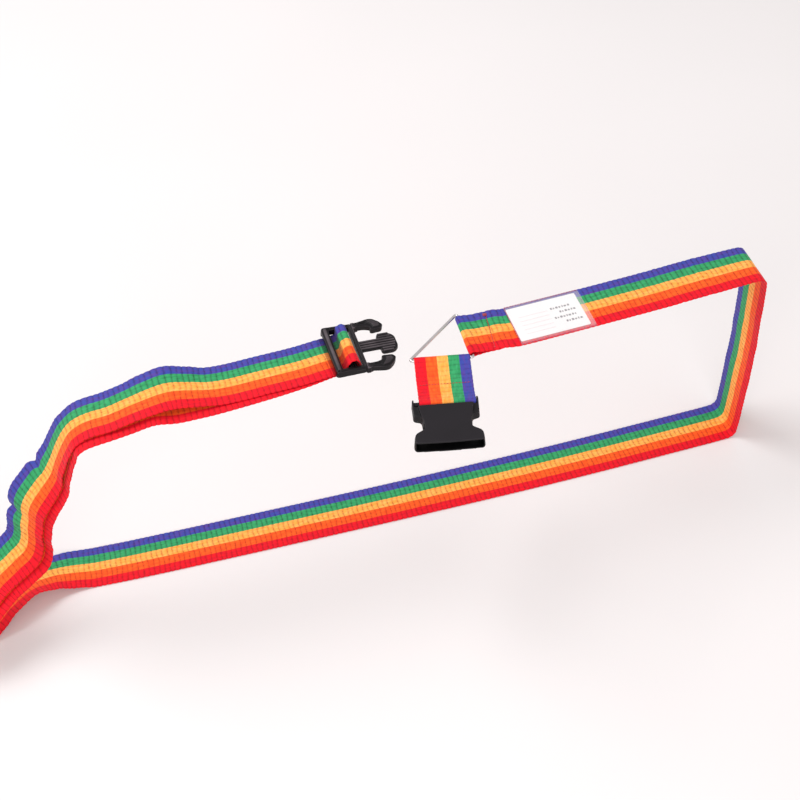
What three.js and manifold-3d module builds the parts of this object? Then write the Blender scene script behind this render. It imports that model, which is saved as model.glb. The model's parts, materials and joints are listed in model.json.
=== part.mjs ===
// Luggage strap: one long striped webbing wrapped round a suitcase, buckle open.
// Millimetres, +Z up. The suitcase stands on the floor at z = 0 and is left out.
import * as THREE from 'three';
import Module from 'manifold-3d';
import { mergeVertices } from 'three/addons/utils/BufferGeometryUtils.js';

const wasm = await Module();
wasm.setup();

// ---- Driving dimensions -------------------------------------------------
const WEB_WIDTH = 49;
const WEB_THICK = 1.4;
const GAP = 0.3;                       // free space between touching pieces
const JOIN_GAP = 0.1;                  // each webbing run stops this short of the next

const CASE_HEIGHT = 230;               // the case fills x -29..635, z 1.4..230
const CASE_RIGHT = 635;
const CORNER_RADIUS = 8;
const ORIGIN = new THREE.Vector3(216.1, -34.8, -0.1);   // bottom centre of the whole part

const HALF_THICK = WEB_THICK / 2;
const FLOOR_Z = HALF_THICK;                      // centre of a layer lying on the floor
const LOWER_Z = CASE_HEIGHT + GAP + HALF_THICK;  // centre of a layer lying on the case
const UPPER_Z = LOWER_Z + WEB_THICK + GAP;       // centre of a second layer on top of it

const WIRE_RADIUS = 1.5;
const WIRE_LOOP = WIRE_RADIUS + GAP + HALF_THICK;     // webbing centre to wire centre
const WIRE_Z = LOWER_Z + WIRE_LOOP;
const RING_CORNER_RADIUS = 1.8;
const RING_BUTT = 3.4;                 // the wire's two ends meet this far from the near corner
const RING_BUTT_GAP = 0.5;
const RING_NEAR = new THREE.Vector2(338, -27);
const RING_LEFT = new THREE.Vector2(281, -13.1);
const RING_FAR = new THREE.Vector2(341.35, 29.6);
const FOLD_X = 339.6;                  // webbing centre on the ring's right side
const FOLD_Y = 0.1;
const FOLD_YAW = -3.4;

const SHORT_YAW = -13.7;               // the short webbing and socket turn this much
const SHORT_ORIGIN = new THREE.Vector2(310, -20.15);
const SHORT_WIDTH = 49;
const SHORT_SPAN = 56;                 // ring wire to socket bar
const SOCKET_SHIFT = 2.3;              // the socket sits this far along its bar from centre
const BAR_RADIUS = 2.5;
const BAR_LOOP = BAR_RADIUS + GAP + HALF_THICK;
const SOCKET_BASE = CASE_HEIGHT + GAP;
const SOCKET_HEIGHT = 12;
const SOCKET_BAR_Z = SOCKET_BASE + 5.5;
const SOCKET_LUG_OUTER = 30;
const SOCKET_MOUTH = 49.5;             // bar to mouth edge
const SOCKET_WALL = 1.6;
const SOCKET_ROOM_START = 26;          // the wide room for the arms begins here
const SOCKET_ROOM_HALF = 26;
const SOCKET_TIP_HALF = 19;            // half width of the narrow room for the head

const MALE_ORIGIN = new THREE.Vector3(213, 17, 232.8);
const MALE_YAW = -0.7;
const MALE_PITCH = 5;                  // its tip rests on the case, its bar end is raised
const RAIL_LOW = 2;
const RAIL_HIGH = 9;
const RAIL_INNER = WEB_WIDTH / 2 + GAP + 0.5;
const RAIL_OUTER = 30;
const FRAME_END = 30;
const FRONT_BAR = { start: 0.5, end: 6, low: 4.4, high: 9.6 };
const LADDER_BAR = { start: 14, end: 20.5, low: 3.4, high: 7.4 };
const CROSS_BAR = { start: 25.4, low: 1.2 };
const TONGUE = { half: 5.5, low: 3.8, high: 7.8 };
const HEAD = { start: 48, end: 65, half: 12, corner: 5, low: 3.4, high: 8.4 };
const ARM_PIVOT = new THREE.Vector2(33, 26.5);
const ARM_ROOT_RADIUS = 2.7;

const SLACK_RADIUS = 27;               // the slack loop's turn at the floor
const SLACK_YAW = 30;
const SLACK_BASE = new THREE.Vector2(-171, -9);
const SLACK_DRIFT = -14;               // the turn's upper end lies this far to one side
const TAIL_SHIFT_TOP = 8.5;            // sideways shift of the tail at the case's edge
const TAIL_SHIFT_LOW = 11;             // and at its hem
const TAIL_DEPTH = 3.4;                // the tail lies this far below the layer above it
const HEM_TURN = HALF_THICK + GAP / 2;

const FILM_THICK = 0.5;
const CARD_THICK = 0.5;
const CARD_LENGTH = 69;
const CARD_WIDTH = 43;
const POCKET_LEFT = 385;
const POCKET_LENGTH = 75;
const POCKET_Y = -1;
const POCKET_END_WALL = 1;             // the pocket is closed on its left by this much
const THREAD_RADIUS = 0.35;
const SEAM_SWAY = 0.6;                 // half the width of a zigzag seam
const SEAM_PITCH = 2.4;
const TACK_SWAY = 1.8;
const TACK_PITCH = 0.9;
const SHORT_SEAM_PLACE = 27;           // ring to seam, along the short webbing
const HEM_SEAM_PLACE = 12;

// ---- Helpers -------------------------------------------------------------
const radians = (degrees) => THREE.MathUtils.degToRad(degrees);

// A station is one place on a webbing: centre, yaw of its width about Z, tilt of its width.
function station(x, y, z, yaw = 0, tilt = 0) {
  return { x, y, z, yaw, tilt };
}

// Stations on an arc in a vertical plane; 0 degrees points along heading, 90 degrees up.
function arcStations(centre, heading, radius, fromAngle, toAngle, steps, yaw) {
  const list = [];
  for (let i = 0; i <= steps; i += 1) {
    const angle = radians(fromAngle + (toAngle - fromAngle) * i / steps);
    const reach = radius * Math.cos(angle);
    list.push(station(
      centre.x + heading.x * reach,
      centre.y + heading.y * reach,
      centre.z + radius * Math.sin(angle),
      yaw,
    ));
  }
  return list;
}

function acrossVector(yaw, tilt) {
  const level = Math.cos(radians(tilt));
  return new THREE.Vector3(
    -Math.sin(radians(yaw)) * level,
    Math.cos(radians(yaw)) * level,
    Math.sin(radians(tilt)),
  );
}

// One smooth route through stations. frame(t) counts stations: t = 2.5 is half-way 2 to 3.
class Route {
  constructor(stations) {
    this.stations = stations;
    const points = stations.map((s) => new THREE.Vector3(s.x, s.y, s.z));
    this.curve = new THREE.CatmullRomCurve3(points, false, 'centripetal');
  }

  frame(t) {
    const last = this.stations.length - 1;
    const u = THREE.MathUtils.clamp(t / last, 0, 1);
    const from = this.stations[Math.floor(t)];
    const to = this.stations[Math.min(Math.floor(t) + 1, last)];
    const share = THREE.MathUtils.smoothstep(t - Math.floor(t), 0, 1);
    const yaw = THREE.MathUtils.lerp(from.yaw, to.yaw, share);
    const tilt = THREE.MathUtils.lerp(from.tilt, to.tilt, share);
    const centre = this.curve.getPoint(u);
    const tangent = this.curve.getTangent(u);
    const across = acrossVector(yaw, tilt);
    across.addScaledVector(tangent, -across.dot(tangent)).normalize();
    const normal = new THREE.Vector3().crossVectors(tangent, across);
    return { centre, across, normal };
  }

  // Frames from station a to station b, each end stopping a little short.
  frames(a, b, perStation) {
    const list = [];
    const steps = (b - a) * perStation;
    const inset = (i) => JOIN_GAP / this.curve.getPoint(i / (this.stations.length - 1))
      .distanceTo(this.curve.getPoint((i + 1) / (this.stations.length - 1)));
    const start = a + inset(a);
    const end = b - inset(b - 1);
    for (let i = 0; i <= steps; i += 1) {
      list.push(this.frame(start + (end - start) * i / steps));
    }
    return list;
  }
}

// Closed solid: a convex outline of [across, normal] points carried along the frames.
function sweep(frames, outline) {
  const positions = [];
  for (const { centre, across, normal } of frames) {
    for (const [a, n] of outline) {
      const p = centre.clone().addScaledVector(across, a).addScaledVector(normal, n);
      positions.push(p.x, p.y, p.z);
    }
  }
  const sides = outline.length;
  const indices = [];
  for (let i = 0; i + 1 < frames.length; i += 1) {
    for (let j = 0; j < sides; j += 1) {
      const next = (j + 1) % sides;
      const a = i * sides + j;
      const b = i * sides + next;
      indices.push(a, b, b + sides, a, b + sides, a + sides);
    }
  }
  const top = (frames.length - 1) * sides;
  for (let j = 1; j + 1 < sides; j += 1) {
    indices.push(0, j + 1, j);
    indices.push(top, top + j, top + j + 1);
  }
  const geometry = new THREE.BufferGeometry();
  geometry.setAttribute('position', new THREE.Float32BufferAttribute(positions, 3));
  geometry.setIndex(indices);
  return geometry;
}

function flatOutline(width, thick) {
  return [
    [-width / 2, -thick / 2],
    [width / 2, -thick / 2],
    [width / 2, thick / 2],
    [-width / 2, thick / 2],
  ];
}

function roundOutline(radius, sides) {
  const list = [];
  for (let i = 0; i < sides; i += 1) {
    const angle = 2 * Math.PI * i / sides;
    list.push([radius * Math.cos(angle), radius * Math.sin(angle)]);
  }
  return list;
}

// Round rod through points, with mitred corners. side is any direction off the path.
function rod(points, radius, sides, side) {
  const frames = points.map((centre, i) => {
    const before = points[Math.max(i - 1, 0)];
    const after = points[Math.min(i + 1, points.length - 1)];
    const tangent = new THREE.Vector3().subVectors(after, before).normalize();
    const across = side.clone().addScaledVector(tangent, -side.dot(tangent)).normalize();
    const normal = new THREE.Vector3().crossVectors(tangent, across);
    return { centre, across, normal };
  });
  return sweep(frames, roundOutline(radius, sides));
}

function toSolid(geometry) {
  const bare = geometry.clone();
  bare.deleteAttribute('normal');
  bare.deleteAttribute('uv');
  const merged = mergeVertices(bare, 1e-4);
  return new wasm.Manifold(new wasm.Mesh({
    numProp: 3,
    vertProperties: new Float32Array(merged.attributes.position.array),
    triVerts: new Uint32Array(merged.index.array),
  }));
}

function fromSolid(solid) {
  const mesh = solid.getMesh();
  const geometry = new THREE.BufferGeometry();
  geometry.setAttribute('position', new THREE.Float32BufferAttribute(mesh.vertProperties, 3));
  geometry.setIndex(new THREE.Uint32BufferAttribute(mesh.triVerts, 1));
  return geometry;
}

function box(x0, x1, y0, y1, z0, z1) {
  const geometry = new THREE.BoxGeometry(x1 - x0, y1 - y0, z1 - z0);
  geometry.translate((x0 + x1) / 2, (y0 + y1) / 2, (z0 + z1) / 2);
  return toSolid(geometry);
}

// Flat plate from an outline of [x, y] corners with rounded corners, between two heights.
function plate(corners, radius, z0, z1) {
  const shape = new THREE.Shape();
  const count = corners.length;
  for (let i = 0; i < count; i += 1) {
    const corner = new THREE.Vector2(...corners[i]);
    const before = new THREE.Vector2(...corners[(i + count - 1) % count]);
    const after = new THREE.Vector2(...corners[(i + 1) % count]);
    const reach = Math.min(radius, corner.distanceTo(before) / 2.1, corner.distanceTo(after) / 2.1);
    const enter = corner.clone().add(before.sub(corner).setLength(reach));
    const leave = corner.clone().add(after.sub(corner).setLength(reach));
    if (i === 0) {
      shape.moveTo(enter.x, enter.y);
    } else {
      shape.lineTo(enter.x, enter.y);
    }
    shape.quadraticCurveTo(corner.x, corner.y, leave.x, leave.y);
  }
  const geometry = new THREE.ExtrudeGeometry(shape, {
    depth: z1 - z0, bevelEnabled: false, curveSegments: 3,
  });
  geometry.translate(0, 0, z0);
  return toSolid(geometry);
}

function mirrored(corners) {
  return corners.map(([x, y]) => [x, -y]).reverse();
}

// ---- Materials -------------------------------------------------------------
const fabric = (color) => new THREE.MeshStandardMaterial({ color, roughness: 0.8, metalness: 0 });
const plastic = () => new THREE.MeshStandardMaterial({ color: 0x363136, roughness: 0.6, metalness: 0 });
const WEBBING_ORANGE = 0xf07a33;
const THREAD_RED = 0x8f1526;

const part = new THREE.Group();
part.name = 'luggage_strap';

function add(name, geometry, material) {
  geometry.translate(-ORIGIN.x, -ORIGIN.y, -ORIGIN.z);
  geometry.computeVertexNormals();
  const mesh = new THREE.Mesh(geometry, material);
  mesh.name = name;
  part.add(mesh);
}

// ---- Long webbing: its route, run by run -----------------------------------
const PLUS_X = new THREE.Vector2(1, 0);

// From the male half's own frame, x towards its tip and z up from its base.
const malePlacement = new THREE.Matrix4()
  .makeRotationFromEuler(new THREE.Euler(0, radians(MALE_PITCH), radians(MALE_YAW), 'ZYX'))
  .setPosition(MALE_ORIGIN);
function maleStation(u, w) {
  const place = new THREE.Vector3(u, 0, w).applyMatrix4(malePlacement);
  return station(place.x, place.y, place.z, MALE_YAW);
}

const ringFold = [
  station(368, 0, LOWER_Z, -6),
  station(352, 0.6, LOWER_Z, -4),
  ...arcStations({ x: FOLD_X, y: FOLD_Y, z: WIRE_Z }, PLUS_X, WIRE_LOOP, 270, 90, 6, FOLD_YAW),
  station(352, 0.6, UPPER_Z + 0.6, -4),
  station(362, 0.2, UPPER_Z, -5),
  station(373, -0.4, UPPER_Z - 0.1, -4),
];
const topRun = [
  station(381, -1, LOWER_Z + 0.4),
  station(388, -1, LOWER_Z),
  station(460, -0.5, LOWER_Z),
  station(536, 0.6, LOWER_Z, 1),
  station(560, 1.2, LOWER_Z + 0.5, 1),
  station(585, 1.9, LOWER_Z + 0.3, 1),
];
const outerRadius = CORNER_RADIUS + GAP + HALF_THICK;
const cornerX = CASE_RIGHT - CORNER_RADIUS;
const rightCorner = arcStations(
  { x: cornerX, y: 2.5, z: CASE_HEIGHT - CORNER_RADIUS }, PLUS_X, outerRadius, 90, 0, 4, 0,
);
const rightDrop = [
  station(638, 2.8, 160),
  station(639, 3, 115),
  station(638, 3, 70),
];
const floorCorner = arcStations(
  { x: cornerX, y: 3, z: FLOOR_Z + outerRadius + 0.2 }, PLUS_X, outerRadius, 0, -90, 4, -1,
);
const floorRun = [
  station(602, 3.1, FLOOR_Z, -1),
  station(585, 3.4, FLOOR_Z, -1),
  station(450, 6, FLOOR_Z, -2),
  station(300, 12, FLOOR_Z, -3),
  station(150, 20, FLOOR_Z, -4),
  station(0, 29, FLOOR_Z, -4),
  station(-30, 31.5, FLOOR_Z, -3),
];
const floorReturn = [
  station(-42, 32.6, FLOOR_Z + 0.1, -2),
  station(-62, 34.5, 3.6, 0, -3),
  station(-84, 33.5, 7.6, 8, -10),
  station(-108, 26, 11.6, 17, -18),
  station(-130, 15, 10, 25, -13),
  station(-148, 4.5, 5, 30, -5),
  station(-160, -2.5, FLOOR_Z + 0.5, SLACK_YAW),
  station(-166, -6, FLOOR_Z + 0.1, SLACK_YAW),
];
const slackHeading = new THREE.Vector2(-Math.cos(radians(SLACK_YAW)), -Math.sin(radians(SLACK_YAW)));
const slackTurn = arcStations(
  { x: SLACK_BASE.x, y: SLACK_BASE.y, z: FLOOR_Z + SLACK_RADIUS + 0.2 },
  slackHeading, SLACK_RADIUS, -90, 90, 8, SLACK_YAW,
).map((s, i, all) => ({ ...s, y: s.y + SLACK_DRIFT * i / (all.length - 1) }));
const droop = [
  station(-151, -13, 60, 31),
  station(-131, -1, 71.5, 33, 3),
  station(-110, 4, 85, 35, 2),
  station(-97, 5, 96.5, 36, 1),
  station(-92, 6, 109, 36, -3),
  station(-90, 7, 121, 34, -4),
  station(-86, 9, 132, 31, 0),
  station(-84.5, 9.5, 141, 31, 8),
  station(-80, 9.5, 152, 28, 12),
  station(-67, 12, 167, 20, 13),
  station(-54.5, 13.5, 180.5, 12, 12),
  station(-46, 15, 197, 6, 8),
  station(-35.5, 16, 216, 3, 4),
];
const leftCorner = [
  station(-27.5, 17, 224.8),
  station(-18, 17, 230.8),
  station(-8, 17, 233.4),
  station(7, 16.5, 235),
  station(27, 17, 238.7),
  station(46, 18, 242.2, 0, 5),
  station(65, 19, 243.2, 0, 8),
  station(85, 18, 238.4, 0, 4),
  station(101, 17, 234),
  station(117, 16, UPPER_Z),
];
const slideStrip = [
  station(150, 15.8, UPPER_Z, -1),
  station(185, 15.7, UPPER_Z, -3),
  maleStation(-2, 0.1),
];
const barLoop = [
  maleStation(4, 0.4),
  maleStation(8, 2.2),
  maleStation(10.7, 6),
  maleStation(12.4, 10.4),
  maleStation(15, 13.8),
  maleStation(18.2, 14.8),
  maleStation(21.2, 13.4),
  maleStation(23.3, 10),
  maleStation(24.1, 6.4),
  maleStation(23.8, 3.6),
  maleStation(22.2, 1.4),
  maleStation(19.4, 0.3),
  maleStation(14, -0.4),
  maleStation(4, -1.3),
  maleStation(-2, -1.7),
];
const tailStrip = [
  station(185, 13.5, LOWER_Z, -3),
  station(150, 10.5, LOWER_Z, -1),
  station(117, 9, LOWER_Z),
];
const tailBulge = [
  station(101, 8.6, LOWER_Z),
  station(85, 8.5, LOWER_Z + 0.3),
  station(65, 9, 233.6),
  station(46, 10, 237.4),
  station(27, 9.5, 234.8),
  station(7, 8.8, 231.6),
  station(-8, 8.5, 230.6),
  station(-18, 8.5, 228.2),
  station(-26, 8.5, 222.6),
];

// The tail hangs just behind the outer layer, so its stations follow from that layer.
const outerDroop = new Route([...slackTurn.slice(-1), ...droop, leftCorner[0]]);
function behindDroop(index) {
  const { centre, across, normal } = outerDroop.frame(index);
  const shift = THREE.MathUtils.lerp(TAIL_SHIFT_LOW, TAIL_SHIFT_TOP, index / droop.length);
  const place = centre.addScaledVector(across, -shift).addScaledVector(normal, -TAIL_DEPTH);
  const { yaw, tilt } = outerDroop.stations[index];
  return station(place.x, place.y, place.z, yaw, tilt);
}
const tailDroop = [];
for (let index = droop.length; index >= 1; index -= 1) {
  tailDroop.push(behindDroop(index));
}
const hemStart = tailDroop[tailDroop.length - 1];
const hemReach = (along, z) => station(
  hemStart.x + slackHeading.x * along,
  hemStart.y + slackHeading.y * along,
  z,
  SLACK_YAW,
);
const hemZ = SLACK_RADIUS * 2 + FLOOR_Z - TAIL_DEPTH;
const tailHem = [
  hemReach(8, hemZ + 0.8),
  hemReach(22, hemZ),
  ...arcStations(
    { x: hemReach(22, 0).x, y: hemReach(22, 0).y, z: hemZ - HEM_TURN },
    slackHeading, HEM_TURN, 90, -90, 4, SLACK_YAW,
  ).slice(1),
  hemReach(10, hemZ - 2 * HEM_TURN + 0.5),
];

const longRuns = [
  ['webbing_ring_fold', ringFold, 3],
  ['webbing_top_run', topRun, 4],
  ['webbing_right_corner', rightCorner, 2],
  ['webbing_right_drop', rightDrop, 3],
  ['webbing_floor_corner', floorCorner, 2],
  ['webbing_floor_run', floorRun, 2],
  ['webbing_floor_return', floorReturn, 4],
  ['webbing_slack_turn', slackTurn, 2],
  ['webbing_droop', droop, 4],
  ['webbing_left_corner', leftCorner, 4],
  ['webbing_slide_strip', slideStrip, 2],
  ['webbing_bar_loop', barLoop, 3],
  ['tail_slide_strip', tailStrip, 2],
  ['tail_left_corner', tailBulge, 4],
  ['tail_droop', tailDroop, 4],
  ['tail_hem', tailHem, 3],
];

function addRuns(runs) {
  const route = new Route(runs.flatMap(([, stations]) => stations));
  const outline = flatOutline(WEB_WIDTH, WEB_THICK);
  let start = 0;
  for (const [name, stations, perStation] of runs) {
    const end = Math.min(start + stations.length - (start === 0 ? 1 : 0), route.stations.length - 1);
    add(name, sweep(route.frames(start, end, perStation), outline), fabric(WEBBING_ORANGE));
    start = end;
  }
}
addRuns(longRuns);

// ---- Wire ring ---------------------------------------------------------------
function ringPath() {
  const points = [];
  const lift = (p) => points.push(new THREE.Vector3(p.x, p.y, WIRE_Z));
  const towards = (from, to, distance) => to.clone().sub(from).setLength(distance).add(from);
  const bend = (before, corner, after) => {
    const half = before.clone().sub(corner).angleTo(after.clone().sub(corner)) / 2;
    const reach = RING_CORNER_RADIUS / Math.tan(half);
    const enter = towards(corner, before, reach);
    const leave = towards(corner, after, reach);
    const arc = new THREE.QuadraticBezierCurve(enter, corner, leave);
    arc.getPoints(6).forEach(lift);
  };
  lift(towards(RING_NEAR, RING_LEFT, RING_BUTT + RING_BUTT_GAP));
  bend(RING_NEAR, RING_LEFT, RING_FAR);
  bend(RING_LEFT, RING_FAR, RING_NEAR);
  bend(RING_FAR, RING_NEAR, RING_LEFT);
  lift(towards(RING_NEAR, RING_LEFT, RING_BUTT));
  return points;
}
add(
  'wire_ring',
  rod(ringPath(), WIRE_RADIUS, 12, new THREE.Vector3(0, 0, 1)),
  new THREE.MeshStandardMaterial({ color: 0xc9c9c6, roughness: 0.25, metalness: 1 }),
);

// ---- Short webbing -------------------------------------------------------------
// s runs from the ring to the socket, z is the real height.
const shortAlong = new THREE.Vector2(-Math.sin(radians(-SHORT_YAW)), -Math.cos(radians(SHORT_YAW)));
const shortAcross = new THREE.Vector2(Math.cos(radians(SHORT_YAW)), Math.sin(radians(SHORT_YAW)));
function shortStation(s, z) {
  return station(
    SHORT_ORIGIN.x + shortAlong.x * s,
    SHORT_ORIGIN.y + shortAlong.y * s,
    z,
    SHORT_YAW - 90,
  );
}
const onCircle = (s, z, radius, angles) => angles.map((angle) => shortStation(
  s + radius * Math.cos(radians(angle)),
  z + radius * Math.sin(radians(angle)),
));
const shortLoop = new Route([
  shortStation(29, LOWER_Z),
  shortStation(10, LOWER_Z),
  ...onCircle(0, WIRE_Z, WIRE_LOOP, [270, 240, 210, 180, 150, 120, 90]),
  shortStation(9, UPPER_Z + 1.9),
  shortStation(18, UPPER_Z + 0.3),
  shortStation(36, UPPER_Z + 0.3),
  shortStation(47, UPPER_Z + 3),
  ...onCircle(SHORT_SPAN, SOCKET_BAR_Z, BAR_LOOP, [90, 60, 30, 0, -30, -60, -90]),
  shortStation(45, LOWER_Z + 0.1),
  shortStation(29.6, LOWER_Z),
]);
add(
  'short_webbing',
  sweep(shortLoop.frames(0, shortLoop.stations.length - 1, 3), flatOutline(SHORT_WIDTH, WEB_THICK)),
  fabric(WEBBING_ORANGE),
);

// ---- Socket half ---------------------------------------------------------------
// Own frame: x runs from its bar towards the mouth, y across, z up from its base.
function socketSolid() {
  const lugInner = SHORT_WIDTH / 2 + GAP + SOCKET_SHIFT;
  const bodyStart = BAR_LOOP + HALF_THICK + 1;
  const nearSide = [
    [-4, -SOCKET_LUG_OUTER], [15, -SOCKET_LUG_OUTER + 0.5], [17, -22.5], [33.5, -21.5],
    [38.5, -30], [42, -31], [47, -31], [SOCKET_MOUTH, -29],
  ];
  const outline = [...nearSide, [SOCKET_MOUTH + 0.8, 0], ...mirrored(nearSide)];
  const body = plate(outline, 2.5, 0, SOCKET_HEIGHT);
  const roomTop = SOCKET_HEIGHT - SOCKET_WALL;
  const strapSlot = box(-6, bodyStart, -lugInner, lugInner, -1, SOCKET_HEIGHT + 1);
  const armRoom = box(
    SOCKET_ROOM_START, SOCKET_MOUTH + 3, -SOCKET_ROOM_HALF, SOCKET_ROOM_HALF, SOCKET_WALL, roomTop,
  );
  const tipRoom = box(
    bodyStart + 3, SOCKET_ROOM_START + 1, -SOCKET_TIP_HALF, SOCKET_TIP_HALF, SOCKET_WALL, roomTop,
  );
  const bar = new THREE.CylinderGeometry(BAR_RADIUS, BAR_RADIUS, 2 * lugInner + 1, 16);
  const barSolid = toSolid(bar).translate([0, 0, SOCKET_BAR_Z - SOCKET_BASE]);
  return body.subtract(strapSlot).subtract(armRoom).subtract(tipRoom).add(barSolid);
}
const socket = fromSolid(socketSolid());
socket.rotateZ(Math.atan2(shortAlong.y, shortAlong.x));
socket.translate(
  SHORT_ORIGIN.x + shortAlong.x * SHORT_SPAN - shortAcross.x * SOCKET_SHIFT,
  SHORT_ORIGIN.y + shortAlong.y * SHORT_SPAN - shortAcross.y * SOCKET_SHIFT,
  SOCKET_BASE,
);
add('socket_half', socket, plastic());

// ---- Male half -------------------------------------------------------------------
// Own frame: x towards the tip, y across, z up from its base.
function maleFrameSolid() {
  const farRail = [
    [0, RAIL_INNER], [FRAME_END, RAIL_INNER], [FRAME_END, RAIL_OUTER - 1], [0, RAIL_OUTER],
  ];
  const rails = plate(farRail, 1.5, RAIL_LOW, RAIL_HIGH)
    .add(plate(mirrored(farRail), 1.5, RAIL_LOW, RAIL_HIGH));
  const frontHalf = RAIL_OUTER - 1;
  const frontBar = box(
    FRONT_BAR.start, FRONT_BAR.end, -frontHalf, frontHalf, FRONT_BAR.low, FRONT_BAR.high,
  );
  const ladderHalf = RAIL_INNER + 1;
  const ladderBar = box(
    LADDER_BAR.start, LADDER_BAR.end, -ladderHalf, ladderHalf, LADDER_BAR.low, LADDER_BAR.high,
  );
  const crossHalf = RAIL_OUTER - 1.5;
  const crossBar = box(CROSS_BAR.start, FRAME_END, -crossHalf, crossHalf, CROSS_BAR.low, RAIL_HIGH);
  const tongue = box(
    FRAME_END - 1, HEAD.start + 2, -TONGUE.half, TONGUE.half, TONGUE.low, TONGUE.high,
  );
  const farHead = [
    [HEAD.end, HEAD.half - HEAD.corner], [HEAD.end - HEAD.corner, HEAD.half], [HEAD.start, HEAD.half],
  ];
  const head = plate([...mirrored(farHead), ...farHead], 2.5, HEAD.low, HEAD.high);
  return rails.add(frontBar).add(ladderBar).add(crossBar).add(tongue).add(head);
}

const ARM_OUTLINE = [
  [33, 29.2], [40, 30.6], [46, 31.8], [50, 31], [55, 26.5], [58, 21.5], [55.5, 17.8],
  [46.5, 17], [44.8, 18.2], [45.6, 21.5], [40, 23.4], [33, 23.8],
];
const ARM_LOW = 2.8;
const ARM_HIGH = 9;
function armSolid(side) {
  const blade = plate(side > 0 ? ARM_OUTLINE : mirrored(ARM_OUTLINE), 1.5, ARM_LOW, ARM_HIGH);
  const root = new THREE.CylinderGeometry(ARM_ROOT_RADIUS, ARM_ROOT_RADIUS, ARM_HIGH - ARM_LOW, 24);
  root.rotateX(Math.PI / 2);
  root.translate(ARM_PIVOT.x, side * ARM_PIVOT.y, (ARM_LOW + ARM_HIGH) / 2);
  return blade.add(toSolid(root));
}

function addMalePiece(name, solid) {
  const geometry = fromSolid(solid);
  geometry.applyMatrix4(malePlacement);
  add(name, geometry, plastic());
}
addMalePiece('male_frame', maleFrameSolid());
addMalePiece('male_arm_far', armSolid(1));
addMalePiece('male_arm_near', armSolid(-1));

// ---- Name-card pocket ----------------------------------------------------------------
const webTop = LOWER_Z + HALF_THICK;
function pocketSolid() {
  const right = POCKET_LEFT + POCKET_LENGTH;
  const half = WEB_WIDTH / 2;
  const roomTop = webTop + GAP + CARD_THICK + GAP;
  const cover = box(POCKET_LEFT, right, POCKET_Y - half, POCKET_Y + half, webTop + GAP, roomTop + FILM_THICK);
  const roomHalf = CARD_WIDTH / 2 + GAP;
  const room = box(
    POCKET_LEFT + POCKET_END_WALL, right + 5, POCKET_Y - roomHalf, POCKET_Y + roomHalf, webTop - 1, roomTop,
  );
  return cover.subtract(room);
}
add('pocket_film', fromSolid(pocketSolid()), new THREE.MeshStandardMaterial({
  color: 0xf4f6f7, roughness: 0.15, metalness: 0, transparent: true, opacity: 0.35,
}));

const cardLeft = POCKET_LEFT + POCKET_END_WALL + GAP;
const card = new THREE.BoxGeometry(CARD_LENGTH, CARD_WIDTH, CARD_THICK);
card.translate(cardLeft + CARD_LENGTH / 2, POCKET_Y, webTop + GAP + CARD_THICK / 2);
add('name_card', card, new THREE.MeshStandardMaterial({ color: 0xf3f1ee, roughness: 0.5, metalness: 0 }));

// ---- Sewing threads --------------------------------------------------------------------
// A zigzag from start to end: the visible run of a seam, lying on top of the cloth.
function zigzag(start, end, sway, pitch) {
  const along = new THREE.Vector3().subVectors(end, start);
  const count = Math.round(along.length() / pitch);
  const across = new THREE.Vector3(-along.y, along.x, 0).setLength(sway);
  const points = [];
  for (let i = 0; i <= count; i += 1) {
    const swing = i % 2 === 0 ? -1 : 1;
    points.push(start.clone().addScaledVector(along, i / count).addScaledVector(across, swing));
  }
  return rod(points, THREAD_RADIUS, 5, new THREE.Vector3(0, 0, 1));
}

const threadLift = HALF_THICK + GAP + THREAD_RADIUS;
const ringSeamZ = UPPER_Z + 0.25 + threadLift;
add(
  'ring_seam_thread',
  zigzag(
    new THREE.Vector3(360, -21, ringSeamZ), new THREE.Vector3(366, 16, ringSeamZ), SEAM_SWAY, SEAM_PITCH,
  ),
  fabric(THREAD_RED),
);
add(
  'ring_bar_tack',
  zigzag(
    new THREE.Vector3(363, 20.5, ringSeamZ), new THREE.Vector3(369, 20.5, ringSeamZ), TACK_SWAY, TACK_PITCH,
  ),
  fabric(THREAD_RED),
);
const shortSeam = (e) => new THREE.Vector3(
  SHORT_ORIGIN.x + shortAlong.x * SHORT_SEAM_PLACE + shortAcross.x * e,
  SHORT_ORIGIN.y + shortAlong.y * SHORT_SEAM_PLACE + shortAcross.y * e,
  UPPER_Z + 0.3 + threadLift,
);
add(
  'short_seam_thread',
  zigzag(shortSeam(-22), shortSeam(22), SEAM_SWAY, SEAM_PITCH),
  fabric(THREAD_RED),
);

function hemThread() {
  const middle = hemReach(HEM_SEAM_PLACE, hemZ - 2 * HEM_TURN - threadLift - 0.6);
  const reach = 21;
  const across = acrossVector(SLACK_YAW, 0);
  const centre = new THREE.Vector3(middle.x, middle.y, middle.z);
  const from = centre.clone().addScaledVector(across, -reach);
  const to = centre.clone().addScaledVector(across, reach);
  return zigzag(from, to, SEAM_SWAY, SEAM_PITCH);
}
add('hem_seam_thread', hemThread(), fabric(THREAD_RED));

// The pocket is sewn down on three sides; its right end stays open for the card.
function pocketThread() {
  const half = WEB_WIDTH / 2 - 0.9;
  const left = POCKET_LEFT + 0.5;
  const right = POCKET_LEFT + POCKET_LENGTH - 1;
  const z = webTop + GAP + CARD_THICK + GAP + FILM_THICK + GAP + THREAD_RADIUS;
  const points = [
    new THREE.Vector3(right, POCKET_Y - half, z),
    new THREE.Vector3(left, POCKET_Y - half, z),
    new THREE.Vector3(left, POCKET_Y + half, z),
    new THREE.Vector3(right, POCKET_Y + half, z),
  ];
  return rod(points, THREAD_RADIUS, 6, new THREE.Vector3(0, 0, 1));
}
add('pocket_thread', pocketThread(), fabric(THREAD_RED));

export default part;
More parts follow.
